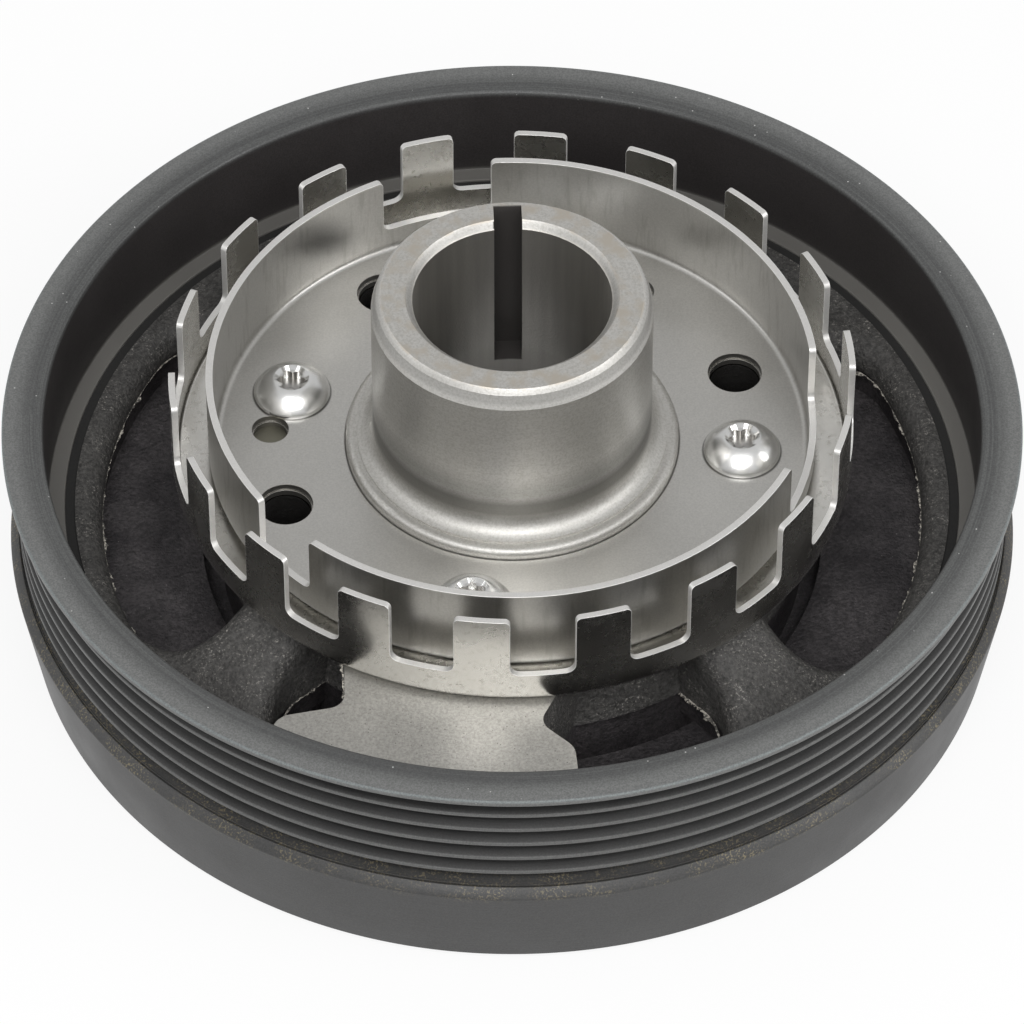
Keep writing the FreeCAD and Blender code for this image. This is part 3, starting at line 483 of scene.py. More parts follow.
def turned_iron(hub, marks):
    """Turned marks under a fine mottle, a warm bloom on the top, painted dark reflections as a band and a zone above
    the rounding at the foot, painted light on the flange, and painted shade on the top's rounded corner.
    """
    turned = hub.blend(marks, (0.48, 0.47, 0.447), (0.62, 0.61, 0.587))
    mottle = hub.ramp(hub.noise(0.42, detail=3.0, rough=0.7), 0.46, 0.60, 0.0, 0.5)
    turned = hub.blend(mottle, turned, (0.40, 0.39, 0.36))
    warm = hub.ramp(hub.noise(3.0, detail=4.0), 0.45, 0.65)
    top = hub.math("MULTIPLY", warm, hub.ramp(hub.height, NOSE_HEIGHT - 0.3, NOSE_HEIGHT - 0.1))
    turned = hub.blend(top, turned, (0.50, 0.465, 0.41))
    # Painted dark reflection: a dark band on the nose's side just above the flange.
    belt = hub.math("MULTIPLY", hub.band(hub.height, 43.0, 46.8, 0.9), hub.ramp(hub.radius, 24.8, 24.4))
    turned = hub.blend(hub.math("MULTIPLY", belt, 0.8), turned, (0.20, 0.195, 0.18))
    # Painted light: the flange, below 41.5 high, is painted 12 percent brighter.
    turned = hub.scaled(turned, hub.ramp(hub.height, 41.5, 43.5, 1.12, 1.0))
    # Painted shade: the rounded corner under the nose's top is painted darker.
    corner = hub.band(hub.height, NOSE_HEIGHT - 2.5, NOSE_HEIGHT - 0.3, 0.3)
    turned = hub.scaled(turned, hub.ramp(corner, 0.0, 1.0, 1.0, 0.78))
    # Painted dark reflection: the nose's side above the rounding at the foot is painted darker.
    lower = hub.math("MULTIPLY", hub.band(hub.height, 44.0, 51.0, 2.0), hub.ramp(hub.radius, 24.6, 24.2))
    return hub.scaled(turned, hub.ramp(lower, 0.0, 1.0, 1.0, 0.72))


# %% The keyway's mask


def keyway(hub):
    """One inside the blind slot: 4.9 wide, its middle 0.8 towards -x from the axis, on the bore's +y side."""
    key = hub.band(hub.math("ADD", hub.x, 0.8), -2.45, 2.45, 0.08)
    key = hub.math("MULTIPLY", key, hub.ramp(hub.radius, BORE_RADIUS + 0.1, BORE_RADIUS + 0.2))
    key = hub.math("MULTIPLY", key, hub.ramp(hub.y, 0.0, 1.0))
    key = hub.math("MULTIPLY", key, hub.band(hub.height, 39.0, NOSE_HEIGHT - 0.2, 0.1))
    return hub.math("MULTIPLY", key, hub.ramp(hub.radius, 21.6, 21.5))


# %% Hub's finish


def hub_finish():
    """Coated casting below the seat's height, bare iron above it, and on top the bore with painted shade towards its
    bottom, the deep holes painted dark as shade, and the keyway.
    """
    hub = Finish("hub_casting")
    bare = hub.ramp(hub.height, SEAT_HEIGHT - 0.12, SEAT_HEIGHT - 0.06)
    nose = hub.ramp(hub.radius, NOSE_FOOT_RADIUS + 0.3, NOSE_FOOT_RADIUS)
    marks = hub.noise(1.0, hub.ring_place(3.0, 2.6, 3.0), detail=3.0)
    colour = hub.blend(bare, casting_skin(hub), hub.blend(nose, milled_iron(hub), turned_iron(hub, marks)))
    bore = hub.ramp(hub.radius, BORE_RADIUS + 0.25, BORE_RADIUS + 0.1)
    streaks = hub.ramp(hub.noise(1.0, hub.ring_place(7.0, 0.2, 0.03), detail=3.0), 0.3, 0.7)
    colour = hub.blend(bore, colour, hub.blend(streaks, (0.45, 0.435, 0.41), (0.54, 0.525, 0.49)))
    # Painted shade and light: the bore is painted darker towards its bottom and brighter near its top.
    colour = hub.scaled(colour, hub.math("MAXIMUM", hub.math("SUBTRACT", 1.0, bore),
                                         hub.ramp(hub.height, 34.0, 52.0, 0.5, 1.15)))
    # Painted shade: the deep holes and a thin ring round each are painted almost black.
    for angle, _ in LARGE_HOLES:
        deep = hub.ramp(hub.away_from(*on_circle(HOLE_CIRCLE, angle)), 5.6, 5.2)
        deep = hub.math("MULTIPLY", deep, hub.ramp(hub.height, 6.3, 7.0))
        colour = hub.blend(deep, colour, (0.012, 0.011, 0.010))
    key = keyway(hub)
    colour = hub.blend(key, colour, (0.06, 0.055, 0.052))
    metal = hub.math("SUBTRACT", bare, hub.math("MULTIPLY", key, 0.6))
    sand = hub.noise(0.55, detail=3.0)
    foot = hub.ramp(hub.height, 43.5, 42.0)
    soft = hub.math("MAXIMUM", foot, hub.ramp(hub.height, NOSE_HEIGHT - 1.5, NOSE_HEIGHT - 1.1))
    rough_bare = hub.math("MULTIPLY_ADD", nose, hub.math("MULTIPLY_ADD", soft, 0.12, -0.11), 0.52)
    rough_bare = hub.math("MULTIPLY_ADD", key, 0.25, rough_bare)
    rough = hub.math("MULTIPLY_ADD", bare, hub.math("SUBTRACT", rough_bare, 0.62), 0.62)
    hub.relief(hub.math("MULTIPLY", sand, hub.ramp(bare, 0.0, 1.0, 1.0, 0.05)), 0.4, 0.9)
    hub.relief(hub.math("MULTIPLY", marks, bare), 0.02, 0.3)
    hub.relief(hub.math("MULTIPLY", hub.noise(0.4, detail=2.0), bare), 0.05, 0.7)
    return hub.done(colour, rough, metal)


dress("hub_casting", hub_finish())

# %% [markdown]
# ## Plated and plain sheet
#
# The outer interrupter ring is plated and mirrors what lies round it, with small stains. The inner one is plain sheet
# with a satin skin. Its wall has upright marks from the press, and painted contact shade sits round the flange and
# the screws' heads.
# A sheet's edge looks unlike its face, because the punch has cut it. One finish could paint it by its place, but the
# thickness is made by a modifier that can give the edge a material of its own, so the edge and its corner get one.
# The corner's is a painted highlight.

# %% Plated sheet


def plated_sheet():
    """Clouded mirror, stained here and there, and painted dark as shade where the inner ring covers it."""
    sheet = Finish("plated_sheet")
    cloud = sheet.noise(7.0, detail=4.0)
    stains = sheet.ramp(sheet.noise(1.1, detail=6.0, rough=0.7), 0.52, 0.72, 0.0, 0.6)
    colour = sheet.blend(cloud, (0.66, 0.645, 0.61), (0.78, 0.77, 0.74))
    colour = sheet.blend(stains, colour, (0.46, 0.44, 0.40))
    # Painted shade: the floor under the inner ring is painted dark.
    under = sheet.math("MULTIPLY", sheet.ramp(sheet.radius, 50.5, 50.0), sheet.ramp(sheet.height, 36.45, 36.3))
    colour = sheet.blend(under, colour, (0.07, 0.065, 0.06))
    sheet.relief(sheet.noise(0.5), 0.01, 0.4)
    rough = sheet.ramp(cloud, 0.3, 0.7, 0.20, 0.30)
    return sheet.done(colour, sheet.math("MULTIPLY_ADD", stains, 0.12, rough), 1.0)


# %% Satin sheet


def satin_sheet():
    """Fine grain and speckle, upright marks on the wall, painted contact shade round the flange and each screw's
    head.
    """
    sheet = Finish("satin_sheet")
    cloud = sheet.noise(10.0, detail=4.0)
    grain = sheet.noise(0.4, detail=2.0)
    colour = sheet.blend(cloud, (0.54, 0.53, 0.505), (0.63, 0.62, 0.595))
    speckle = sheet.ramp(sheet.noise(0.35, detail=3.0, rough=0.7), 0.35, 0.65, 0.93, 1.07)
    colour = sheet.scaled(colour, speckle)
    upright = sheet.noise(1.0, sheet.ring_place(46.0, 0.6, 0.12), detail=3.0)
    wall = sheet.math("MULTIPLY", sheet.ramp(sheet.radius, 50.2, 50.8),
                      sheet.ramp(sheet.height, INNER_CUP_TOP - 0.2, INNER_CUP_TOP - 0.4))
    marks = sheet.math("MULTIPLY", wall, sheet.ramp(upright, 0.54, 0.70, 0.0, 0.6))
    colour = sheet.blend(marks, colour, (0.44, 0.425, 0.40))
    colour = sheet.scaled(colour, sheet.ramp(wall, 0.0, 1.0, 1.0, 0.84))
    # Painted contact shade: a dark ring round the flange and round each screw's head.
    painted_contact_shade = sheet.band(sheet.radius, 28.5, 28.85, 0.1)
    for angle in SCREW_ANGLES:
        head_contact_shade = sheet.band(sheet.away_from(*on_circle(SCREW_CIRCLE, angle)), 6.3, 6.85, 0.12)
        painted_contact_shade = sheet.math("MAXIMUM", painted_contact_shade, head_contact_shade)
    colour = sheet.blend(sheet.math("MULTIPLY", painted_contact_shade, 0.75), colour, (0.08, 0.075, 0.07))
    sheet.relief(grain, 0.02, 0.5)
    sheet.relief(sheet.math("MULTIPLY", upright, wall), 0.03, 0.5)
    return sheet.done(colour, sheet.ramp(cloud, 0.3, 0.7, 0.32, 0.42), 1.0)


# %% Punched edges


def in_holes(finish):
    """One on the edges of the holes in the floors."""
    return finish.math("MULTIPLY", finish.ramp(finish.radius, 50.0, 49.5), finish.ramp(finish.height, 38.4, 38.2))


def punched_edge():
    """The fresh edge of the sheet, where the punch has cut it: pale, with fine marks across, and painted dark as
    shade inside the floors' holes.
    """
    edge = Finish("punched_edge")
    across = edge.noise(0.3, detail=2.0)
    colour = edge.blend(across, (0.62, 0.61, 0.59), (0.78, 0.77, 0.75))
    # Painted shade: the punched edges inside the floors' holes are painted dark.
    colour = edge.blend(in_holes(edge), colour, (0.14, 0.135, 0.125))
    edge.relief(across, 0.02, 0.5)
    return edge.done(colour, 0.42, 0.7)


def corner_highlight():
    """The corner of the punched edge, painted bright as a highlight."""
    corner = Finish("corner_highlight")
    across = corner.noise(0.5, detail=2.0)
    # Painted highlight: the bevel's corner is painted brighter than the edge.
    colour = corner.blend(across, (0.80, 0.79, 0.77), (0.93, 0.92, 0.90))
    # Painted shade on the corners inside the floors' holes.
    return corner.done(corner.blend(in_holes(corner), colour, (0.30, 0.29, 0.27)), 0.4, 0.6)


edge_material = punched_edge()
corner_highlight_material = corner_highlight()
plated_material = plated_sheet()
satin_material = satin_sheet()
dress("outer_interrupter_ring", plated_material)
dress("inner_interrupter_ring", satin_material)

# %% [markdown]
# ## Zinc on the screws
#
# The screws are zinc plated. The zinc is pale and slightly cloudy, so it stays near white where the sheet beside it
# goes grey. The socket's inside sees little light, so it is painted a darker tone as shade, found by the distance
# from the screw's axis.

# %% Screws' finish


def zinc():
    """Pale metal with faint clouds, painted darker as shade inside the sockets."""
    coat = Finish("zinc")
    cloud = coat.noise(1.5, detail=4.0)
    coat.relief(coat.noise(0.4), 0.02, 0.5)
    colour = coat.blend(cloud, (0.78, 0.78, 0.77), (0.92, 0.92, 0.91))
    for angle in SCREW_ANGLES:
        # Painted shade: the inside of each socket is painted darker.
        socket = coat.ramp(coat.away_from(*on_circle(SCREW_CIRCLE, angle)), 2.4, 2.2)
        socket = coat.math("MULTIPLY", socket, coat.ramp(coat.height, 41.2, 40.6))
        colour = coat.blend(socket, colour, (0.42, 0.41, 0.395))
    return coat.done(colour, 0.27, 1.0)


zinc_material = zinc()
dress("interrupter_screws", zinc_material)

# %% [markdown]
# ## Fine surfaces for the turned and pressed pieces
#
# The belt ring is turned and the interrupter rings are pressed and punched from sheet. Long highlights run round all
# of them, and a highlight shows every facet. A solid's mesh could be smoothed by shading alone, but its outline
# stays cornered. So these pieces are written as surfaces of their own: a profile carried round the axis for the
# ring and the screws, and a grid of angle and height for the cups, which then gets its sheet's thickness.

# %% Curves


def unit(vector):
    """The vector divided by its length."""
    return vector / np.linalg.norm(vector)


def cornered_arc(before, corner, after, rounding, steps):
    """Points of the arc that touches both sides of a corner.

    With h half of the angle between the sides, the arc starts rounding / tan(h) from the corner, and its middle lies
    rounding / sin(h) from the corner on the line that halves the angle.
    """
    back, onward = unit(before - corner), unit(after - corner)
    half = math.acos(float(np.clip(back @ onward, -1, 1))) / 2
    middle = corner + unit(back + onward) * rounding / math.sin(half)
    start = corner + back * rounding / math.tan(half) - middle
    stop = corner + onward * rounding / math.tan(half) - middle
    sweep = math.atan2(start[0] * stop[1] - start[1] * stop[0], start @ stop)
    turn = np.linspace(0, sweep, steps)
    return middle + np.stack([start[0] * np.cos(turn) - start[1] * np.sin(turn),
                              start[0] * np.sin(turn) + start[1] * np.cos(turn)], 1)


def closed_line(corners, steps=5):
    """A closed line through corners (across, up, rounding), in millimetres."""
    flat = np.array([corner[:2] for corner in corners], float)
    parts = []
    for index, corner in enumerate(corners):
        here = flat[index]
        if corner[2] == 0:
            parts.append(here[None])
        else:
            parts.append(cornered_arc(flat[index - 1], here, flat[(index + 1) % len(flat)], corner[2], steps))
    return np.concatenate(parts)


# %% Grids into pieces


def grid_faces(rows, columns, wrap_rows=False, wrap_columns=False):
    """Squares of a grid whose point (row, column) has the number row * columns + column."""
    number = np.arange(rows * columns).reshape(rows, columns)
    next_row = np.roll(number, -1, 0)
    next_column = np.roll(number, -1, 1)
    both = np.roll(next_row, -1, 1)
    squares = np.stack([number, next_row, both, next_column], -1)
    squares = squares[:rows if wrap_rows else rows - 1, :columns if wrap_columns else columns - 1]
    return squares.reshape(-1, 4)


def new_piece(name, points, faces, material, node, sharp=35.0):
    """A mesh object from points in millimetres, riding on the part, with its sharp edges kept."""
    mesh = bpy.data.meshes.new(name)
    mesh.from_pydata((np.asarray(points) * MM).tolist(), [], faces)
    mesh.shade_smooth()
    mesh.set_sharp_from_angle(angle=math.radians(sharp))
    mesh.materials.append(material)
    piece = bpy.data.objects.new(name, mesh)
    bpy.context.scene.collection.objects.link(piece)
    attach(piece, "root")
    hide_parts(node)
    return piece


def turned_grid(profile, turns):
    """Carries a profile once round the bore's axis.

    Point (i, j) is (radius j * cosine of angle i, radius j * sine of angle i, height j).
    """
    angle = np.linspace(0, 2 * np.pi, turns, endpoint=False)[:, None]
    radius, height = profile[:, 0][None], profile[:, 1][None]
    return np.stack([radius * np.cos(angle), radius * np.sin(angle), height + 0 * angle], -1).reshape(-1, 3)


# %% [markdown]
# ## The belt ring's own surface
#
# One closed profile holds the lip, the six grooves, the plain band with its tapered foot, and the well with its
# ledge. The tools leave no knife edge, so each corner gets a small rounding, and these catch the light as thin
# lines along the lip and the ridges. The profile is turned in steps of one degree.

# %% Turn the belt ring
GROOVE_TOTAL = 6
GROOVE_PITCH = 3.56
GROOVE_DEPTH = 2.7
GROOVE_FLOOR = 0.9
FIRST_GROOVE = 39.2
FLANK = math.tan(math.radians(20))
RING_BORE = 77.3
RING_TURNS = 360


def groove_corners(middle):
    """Four corners of one groove, from its lower mouth to its upper mouth."""
    half_floor = GROOVE_FLOOR / 2
    half_mouth = half_floor + GROOVE_DEPTH * FLANK
    floor_radius = RIDGE_RADIUS - GROOVE_DEPTH
    return [(RIDGE_RADIUS, middle - half_mouth, 0.18), (floor_radius, middle - half_floor, 0.16),
            (floor_radius, middle + half_floor, 0.16), (RIDGE_RADIUS, middle + half_mouth, 0.18)]


ring_corners = [(RING_BORE, 0, 0), (83.4, 0, 0.2), (84.2, 0.8, 0.3), (87.0, 18.2, 0.6), (RIDGE_RADIUS, 20.1, 0.2)]
for row in range(GROOVE_TOTAL - 1, -1, -1):
    ring_corners += groove_corners(FIRST_GROOVE - GROOVE_PITCH * row)
ring_corners += [(RIDGE_RADIUS, 40.7, 0.15), (LIP_RADIUS, 42.2, 0.2), (LIP_RADIUS, RING_HEIGHT, 0.36),
                 (WELL_RADIUS, RING_HEIGHT, 0.9), (WELL_RADIUS, LEDGE_HEIGHT, 0.25), (RING_BORE, LEDGE_HEIGHT, 0.25)]
ring_line = closed_line(ring_corners)
new_piece("belt_ring_surface", turned_grid(ring_line, RING_TURNS),
          grid_faces(RING_TURNS, len(ring_line), True, True).tolist(), ring_coat_material, "pulley_ring")
print("belt ring:", len(ring_line), "points in the profile")

# %% [markdown]
# ## The interrupter rings as pressed sheet
#
# Each ring is a cup. Its wall is punched into blades by gaps that have straight sides, round corners at the floor
# and rounded blade ends. Cutting the gaps out of a full wall would leave slivers, so the wall is made of the parts
# that stay: a strip round the foot and one grid for each blade, whose edges follow the gap's outline. The flat floor
# with its holes is filled by a triangulation between fixed outlines. A thickness and a fine bevel make it sheet.

# %% The outline of a blade


def blade_outline(bottom, top, floor_round, tip_round):
    """Heights of a blade's rows and how much wider the gap is there than between its straight sides.

    In the floor's corner the gap narrows by floor_round * (1 - sine), at the blade's end it widens by
    tip_round * (1 - cosine) of an angle that runs through a quarter turn.
    """
    quarter = np.linspace(0, np.pi / 2, 7)
    corner_heights = bottom + floor_round * (1 - np.cos(quarter))
    corner_spread = -floor_round * (1 - np.sin(quarter))
    straight = np.linspace(bottom + floor_round, top - tip_round, 6)[1:-1]
    tip = np.linspace(0, np.pi / 2, 5)
    tip_heights = top - tip_round * (1 - np.sin(tip))
    tip_spread = tip_round * (1 - np.cos(tip))
    return (np.concatenate([corner_heights, straight, tip_heights]),
            np.concatenate([corner_spread, 0 * straight, tip_spread]))


def wall_points(radius, angle, height):
    """Points (radius * cosine of the angle, radius * sine of the angle, height) on an upright wall."""
    angle, height = np.broadcast_arrays(angle, height)
    return np.stack([radius * np.cos(angle), radius * np.sin(angle), height], -1).reshape(-1, 3)


# %% The wall of a cup
FOOT_STRIP = 1.2
BLADE_STEP = 1.25


def cup_wall(radius, bend, bottom, top, gaps, gap_bottom, floor_round):
    """Points and squares of the wall, and the angles of the columns that go down to the floor.

    A gap's side lies at the gap's angle plus or minus the angle whose sine is half its width / radius. The bend is a
    quarter turn: radius - bend * (1 - sine) across, bottom + bend * (1 - cosine) up.
    """
    heights, spread = blade_outline(gap_bottom, top, floor_round, 1.0)
    points, faces, columns, count = [], [], [], 0
    for index, (angle, half_width) in enumerate(gaps):
        next_angle, next_half = gaps[(index + 1) % len(gaps)]
        next_angle += 360.0 if index + 1 == len(gaps) else 0.0
        floor_edge = math.asin((half_width - floor_round) / radius)
        columns.append(math.radians(angle) + np.linspace(-floor_edge, floor_edge, 7)[:-1])
        left = math.radians(angle) + np.arcsin((half_width + spread) / radius)
        right = math.radians(next_angle) - np.arcsin((next_half + spread) / radius)
        steps = max(8, int(math.degrees(right[0] - left[0]) / BLADE_STEP))
        share = np.linspace(0, 1, steps + 1)[None]
        blade = left[:, None] * (1 - share) + right[:, None] * share
        columns.append(blade[0, :-1])
        points.append(wall_points(radius, blade, heights[:, None]))
        faces.append(grid_faces(len(heights), steps + 1)[:, ::-1] + count)
        count += blade.size
    columns = np.concatenate(columns)
    turn = np.linspace(0, np.pi / 2, 9)
    line = np.concatenate([np.stack([radius - bend * (1 - np.sin(turn)), bottom + bend * (1 - np.cos(turn))], 1),
                           [[radius, gap_bottom - FOOT_STRIP], [radius, gap_bottom]]])
    strip = np.stack([line[:, 0][:, None] * np.cos(columns), line[:, 0][:, None] * np.sin(columns),
                      line[:, 1][:, None] + 0 * columns], -1)
    points.append(strip.reshape(-1, 3))
    faces.append(grid_faces(len(line), len(columns), wrap_columns=True)[:, ::-1] + count)
    return np.concatenate(points), np.concatenate(faces), columns


# %% The floor of a cup
PILOT_RADIUS = 28.7


def circle(radius, steps, centre=(0.0, 0.0)):
    """Even points (radius * cosine, radius * sine) round a centre."""
    angle = np.linspace(0, 2 * np.pi, steps, endpoint=False)
    return np.stack([centre[0] + radius * np.cos(angle), centre[1] + radius * np.sin(angle)], 1)


def cup_floor(edge, opening, holes, height):
    """Triangles between the bend's edge, the round opening and the holes, facing down.

    The triangulation fills everything inside the edge. A triangle is dropped where its middle is in a hole.
    """
    loops = [edge, circle(opening, 180)] + [circle(size, 40, place) for *place, size in holes]
    starts = np.cumsum([0] + [len(loop) for loop in loops])
    lines = np.concatenate([np.stack([np.arange(len(loop)), np.roll(np.arange(len(loop)), -1)], 1) + start
                            for loop, start in zip(loops, starts)])
    flat, _, triangles, *_ = mathutils.geometry.delaunay_2d_cdt(
        [Vector(place) for place in np.concatenate(loops).tolist()], lines.tolist(), [], 0, 1e-7)
    flat, triangles = np.array([tuple(place) for place in flat]), np.array(triangles)
    middle = flat[triangles].mean(1)
    keep = (np.hypot(*middle.T) > opening) & (np.hypot(*middle.T) < np.hypot(*edge[0]))
    for *place, size in holes:
        keep &= np.hypot(*(middle - place).T) > size
    return np.column_stack([flat, np.full(len(flat), height)]), triangles[keep][:, ::-1]


# %% Wall and floor into sheet
EDGE_BEVEL = 0.07


def press_cup(name, node, material, radius, sheet, bend, bottom, top, gaps, gap_bottom, floor_round, holes):
    """Joins wall and floor at the bend's edge, then gives them the sheet's thickness towards the inside."""
    points, faces, columns = cup_wall(radius, bend, bottom, top, gaps, gap_bottom, floor_round)
    edge = np.stack([(radius - bend) * np.cos(columns), (radius - bend) * np.sin(columns)], 1)
    floor_points, triangles = cup_floor(edge, PILOT_RADIUS, holes, bottom)
    piece = new_piece(name, np.concatenate([points, floor_points]),
                      faces.tolist() + (triangles + len(points)).tolist(), material, node)
    work = bmesh.new()
    work.from_mesh(piece.data)
    bmesh.ops.remove_doubles(work, verts=work.verts, dist=0.002 * MM)
    loose = [vertex for vertex in work.verts if not vertex.link_faces]
    bmesh.ops.delete(work, geom=loose, context="VERTS")
    work.to_mesh(piece.data)
    work.free()
    thick = piece.modifiers.new("sheet", "SOLIDIFY")
    thick.thickness = sheet * MM
    thick.offset = -1.0
    thick.use_even_offset = True
    thick.material_offset_rim = 1
    edges = piece.modifiers.new("punched_edge", "BEVEL")
    edges.width = EDGE_BEVEL * MM
    edges.segments = 2
    edges.limit_method = "ANGLE"
    edges.angle_limit = math.radians(50)
    edges.harden_normals = True
    edges.material = 2
    piece.data.materials.append(edge_material)
    piece.data.materials.append(corner_highlight_material)
    print(name, len(piece.data.vertices), "points before thickness")


# %% Punch both rings
BLADE_TOTAL = 18
GAP_HALF_WIDTH = 5.46
INNER_CUP_RADIUS = 52.1


def floor_holes(smaller):
    """Places and radii of the screws' holes and of the open holes."""
    screws = [(*on_circle(SCREW_CIRCLE, angle), 4.3) for angle in SCREW_ANGLES]
    return screws + [(*on_circle(HOLE_CIRCLE, angle), size - smaller) for angle, size in LARGE_HOLES + SMALL_HOLES]


equal_gaps = [(275.1 + 360 / BLADE_TOTAL * step, GAP_HALF_WIDTH) for step in range(BLADE_TOTAL)]
press_cup("outer_ring_sheet", "outer_interrupter_ring", plated_material, radius=58.4, sheet=1.1, bend=1.6,
          bottom=SEAT_HEIGHT, top=54.65, gaps=equal_gaps, gap_bottom=41.7, floor_round=1.7, holes=floor_holes(0.25))
windows = [(degrees, INNER_CUP_RADIUS * math.sin(math.radians(span / 2)))
           for degrees, span in ((105.25, 22.1), (222.65, 13.7), (350.0, 31.2))]
press_cup("inner_ring_sheet", "inner_interrupter_ring", satin_material, radius=INNER_CUP_RADIUS, sheet=1.2, bend=2.3,
          bottom=36.5, top=INNER_CUP_TOP, gaps=windows, gap_bottom=42.3, floor_round=1.6, holes=floor_holes(0.0))

# %% [markdown]
# ## The screws
#
# The screws have low round heads and a socket with six lobes. Seen from above, the socket's edge is nearly a circle
# with a wave of six turns, so one grid in polar places holds the whole screw: its inner rows follow the wave, its
# outer rows are circles.

# %% The rows of a screw
HEAD_FOOT = 37.7
HEAD_TOP = 41.4
DOME_RADIUS = 6.6
DOME_MIDDLE = (0.692, 35.254)
SOCKET_DEPTH = 2.2
SHANK_RADIUS = 4.0
SHANK_END = 22.7
POLE = 0.02


def screw_points(centre, turned_by):
    """Rows from the socket's floor over the dome to the shank's end.

    The socket's radius is 2.14 + 0.36 * cosine of six times the angle, and a cone widens it to 3 at the head's top.
    The dome is an arc of radius 6.6 round DOME_MIDDLE, from 68.6 degrees over level down to 26.5 degrees.
    """
    angle = np.linspace(0, 2 * np.pi, 144, endpoint=False)
    wave = 2.14 + 0.36 * np.cos(6 * (angle - turned_by))
    sweep = np.radians(np.linspace(68.6, 26.5, 10))
    rows = [(POLE, HEAD_TOP - SOCKET_DEPTH), (wave, HEAD_TOP - SOCKET_DEPTH), (wave, HEAD_TOP - 0.6), (3.0, HEAD_TOP)]
    rows += zip(DOME_MIDDLE[0] + DOME_RADIUS * np.cos(sweep), DOME_MIDDLE[1] + DOME_RADIUS * np.sin(sweep))
    rows += [(DOME_RADIUS, HEAD_FOOT + 0.08), (DOME_RADIUS - 0.1, HEAD_FOOT), (SHANK_RADIUS, HEAD_FOOT),
             (SHANK_RADIUS, SHANK_END + 0.3), (SHANK_RADIUS - 0.3, SHANK_END), (POLE, SHANK_END)]
    return np.stack([np.stack([centre[0] + radius * np.cos(angle), centre[1] + radius * np.sin(angle),
                               0 * angle + height], -1) for radius, height in rows])


# %% Make the screws
screw_parts = [screw_points(on_circle(SCREW_CIRCLE, degrees), math.radians(degrees + 12)) for degrees in SCREW_ANGLES]
rows, columns = screw_parts[0].shape[:2]
screw_faces = grid_faces(rows, columns, wrap_columns=True)
caps = np.array([np.arange(columns), np.arange(columns)[::-1] + (rows - 1) * columns])
all_faces = []
for index in range(len(screw_parts)):
    all_faces += (screw_faces + index * rows * columns).tolist() + (caps + index * rows * columns).tolist()
screws = new_piece("screw_surfaces", np.concatenate([part.reshape(-1, 3) for part in screw_parts]), all_faces,
                   zinc_material, "interrupter_screws")
print("screws:", len(screws.data.polygons), "faces")

# %% [markdown]
# ## Flash along the mould's parting line
#
# Where the two halves of a sand mould meet, a thin ragged fin of iron stays. In the pockets it shows as a broken pale
# line. It could be drawn on the casting as a colour, but a fin stands out from the wall, and the line is seen just
# where the wall itself is hidden. So it is a piece: a small four-sided profile carried along the pocket's outline,
# wider and narrower as a smoothed row of seeded random numbers says.

# %% The pocket's outline
SPOKE_SIDE = 8.08
POCKET_REACH = 71.0
POCKET_CORNER = 12.0
BOSS_FOOT = 51.4


def half_pocket():
    """Half of a pocket's outline, from the boss along a spoke and round the corner to the middle of the rim.

    The pocket points along x, and the spoke's middle line leans by 45 degrees. The corner's middle lies as far from
    the spoke's side as from the rim.
    """
    lean = math.radians(45)
    way = np.array([math.cos(lean), math.sin(lean)])
    inward = np.array([math.sin(lean), -math.cos(lean)])
    start = inward * SPOKE_SIDE + way * math.sqrt(BOSS_FOOT ** 2 - SPOKE_SIDE ** 2)
    aside = SPOKE_SIDE + POCKET_CORNER
    middle = inward * aside + way * math.sqrt((POCKET_REACH - POCKET_CORNER) ** 2 - aside ** 2)
    touch = middle - inward * POCKET_CORNER
    far = math.atan2(middle[1], middle[0])
    share = np.linspace(0, 1, 60)[:, None]
    turn = np.linspace(math.radians(135), far, 70)[1:]
    round_rim = np.linspace(far, 0, 120)[1:]
    return (start + (touch - start) * share,
            middle + POCKET_CORNER * np.stack([np.cos(turn), np.sin(turn)], 1),
            POCKET_REACH * np.stack([np.cos(round_rim), np.sin(round_rim)], 1))


# %% The fins


def ragged(count, least, most, seed):
    """A smoothed row of random numbers between least and most, with bare stretches."""
    dice = np.random.default_rng(seed)
    fine = np.convolve(dice.random(count + 6), np.ones(3) / 3, "same")[3:-3]
    broad = np.convolve(dice.random(count + 40), np.ones(19) / 19, "same")[20:-20]
    share = np.clip((fine - 0.25) * 1.6, 0, 1) * np.clip((broad - 0.42) * 7, 0.12, 1)
    return least + (most - least) * share


def fin(path, height, least, most, seed):
    """A four-sided strip along a path. Its root lies in the iron, its edge stands out to the path's right."""
    step = np.gradient(path, axis=0)
    step /= np.hypot(*step.T)[:, None]
    right = np.stack([step[:, 1], -step[:, 0]], 1)
    edge = path + right * ragged(len(path), least, most, seed)[:, None]
    root = path - right * 0.2
    lift = ragged(len(path), -0.12, 0.12, seed + 1)[:, None]
    low, high = height - 0.06 + lift, height + 0.06 + lift
    rings = np.stack([np.hstack([root, low]), np.hstack([edge, low]), np.hstack([edge, high]),
                      np.hstack([root, high])], 1)
    caps = np.array([[0, 1, 2, 3], [3, 2, 1, 0]]) + np.array([[0], [4 * (len(path) - 1)]])
    faces = grid_faces(len(path), 4, wrap_columns=True)
    return rings.reshape(-1, 3), np.concatenate([faces, caps])


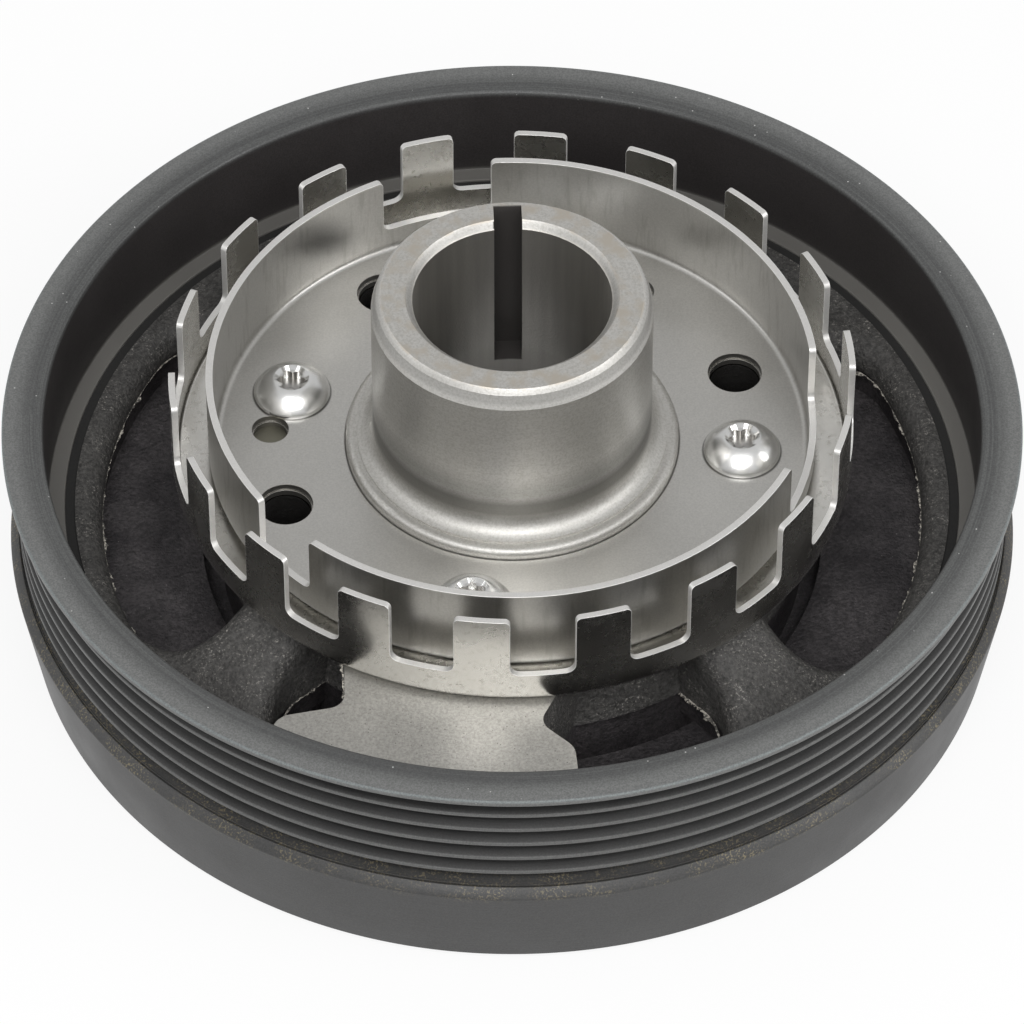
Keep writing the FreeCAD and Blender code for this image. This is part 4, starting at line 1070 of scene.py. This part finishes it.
def turned_path(path, degrees):
    """The path turned round the bore's axis: x * cosine - y * sine, x * sine + y * cosine."""
    angle = math.radians(degrees)
    return path @ np.array([[math.cos(angle), math.sin(angle)], [-math.sin(angle), math.cos(angle)]])


# %% The fins' metal


def fin_metal():
    """Dark iron with bright torn dots."""
    iron = Finish("flash_iron")
    dots = iron.ramp(iron.noise(0.5, detail=2.0), 0.46, 0.56)
    iron.relief(dots, 0.05)
    return iron.done(iron.blend(dots, (0.09, 0.086, 0.078), (0.50, 0.47, 0.41)), 0.6)


# %% Set the fins
FLASH_HEIGHT = 20.05
WEIGHT_FLASH_HEIGHT = 35.2
side, corner, rim = half_pocket()
mirror = np.array([1, -1])
whole = np.concatenate([side, corner, rim, rim[::-1][1:] * mirror, corner[::-1] * mirror, side[::-1] * mirror])
spoke_only = np.concatenate([side, corner[:25]])
weight_edge = np.linspace((-27.75, -58.5), (-28.75, -45.0), 60)
fins = [fin(turned_path(whole, degrees), FLASH_HEIGHT, 0.02, 0.75, seed)
        for degrees, seed in ((87.8, 11), (177.8, 23), (357.8, 37))]
fins.append(fin(turned_path(spoke_only, 267.8), FLASH_HEIGHT, 0.1, 1.1, 41))
fins.append(fin(turned_path(spoke_only[::-1] * mirror, 267.8), FLASH_HEIGHT, 0.05, 0.8, 53))
fins.append(fin(weight_edge[::-1], WEIGHT_FLASH_HEIGHT, 0.05, 0.7, 61))
starts = np.cumsum([0] + [len(points) for points, _ in fins])
flash_mesh = bpy.data.meshes.new("mould_flash")
flash_mesh.from_pydata((np.concatenate([points for points, _ in fins]) * MM).tolist(), [],
                       np.concatenate([faces + start for (_, faces), start in zip(fins, starts)]).tolist())
flash_mesh.materials.append(fin_metal())
flash = bpy.data.objects.new("mould_flash", flash_mesh)
bpy.context.scene.collection.objects.link(flash)
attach(flash, "root")
print("flash:", len(fins), "fins,", len(flash_mesh.polygons), "faces")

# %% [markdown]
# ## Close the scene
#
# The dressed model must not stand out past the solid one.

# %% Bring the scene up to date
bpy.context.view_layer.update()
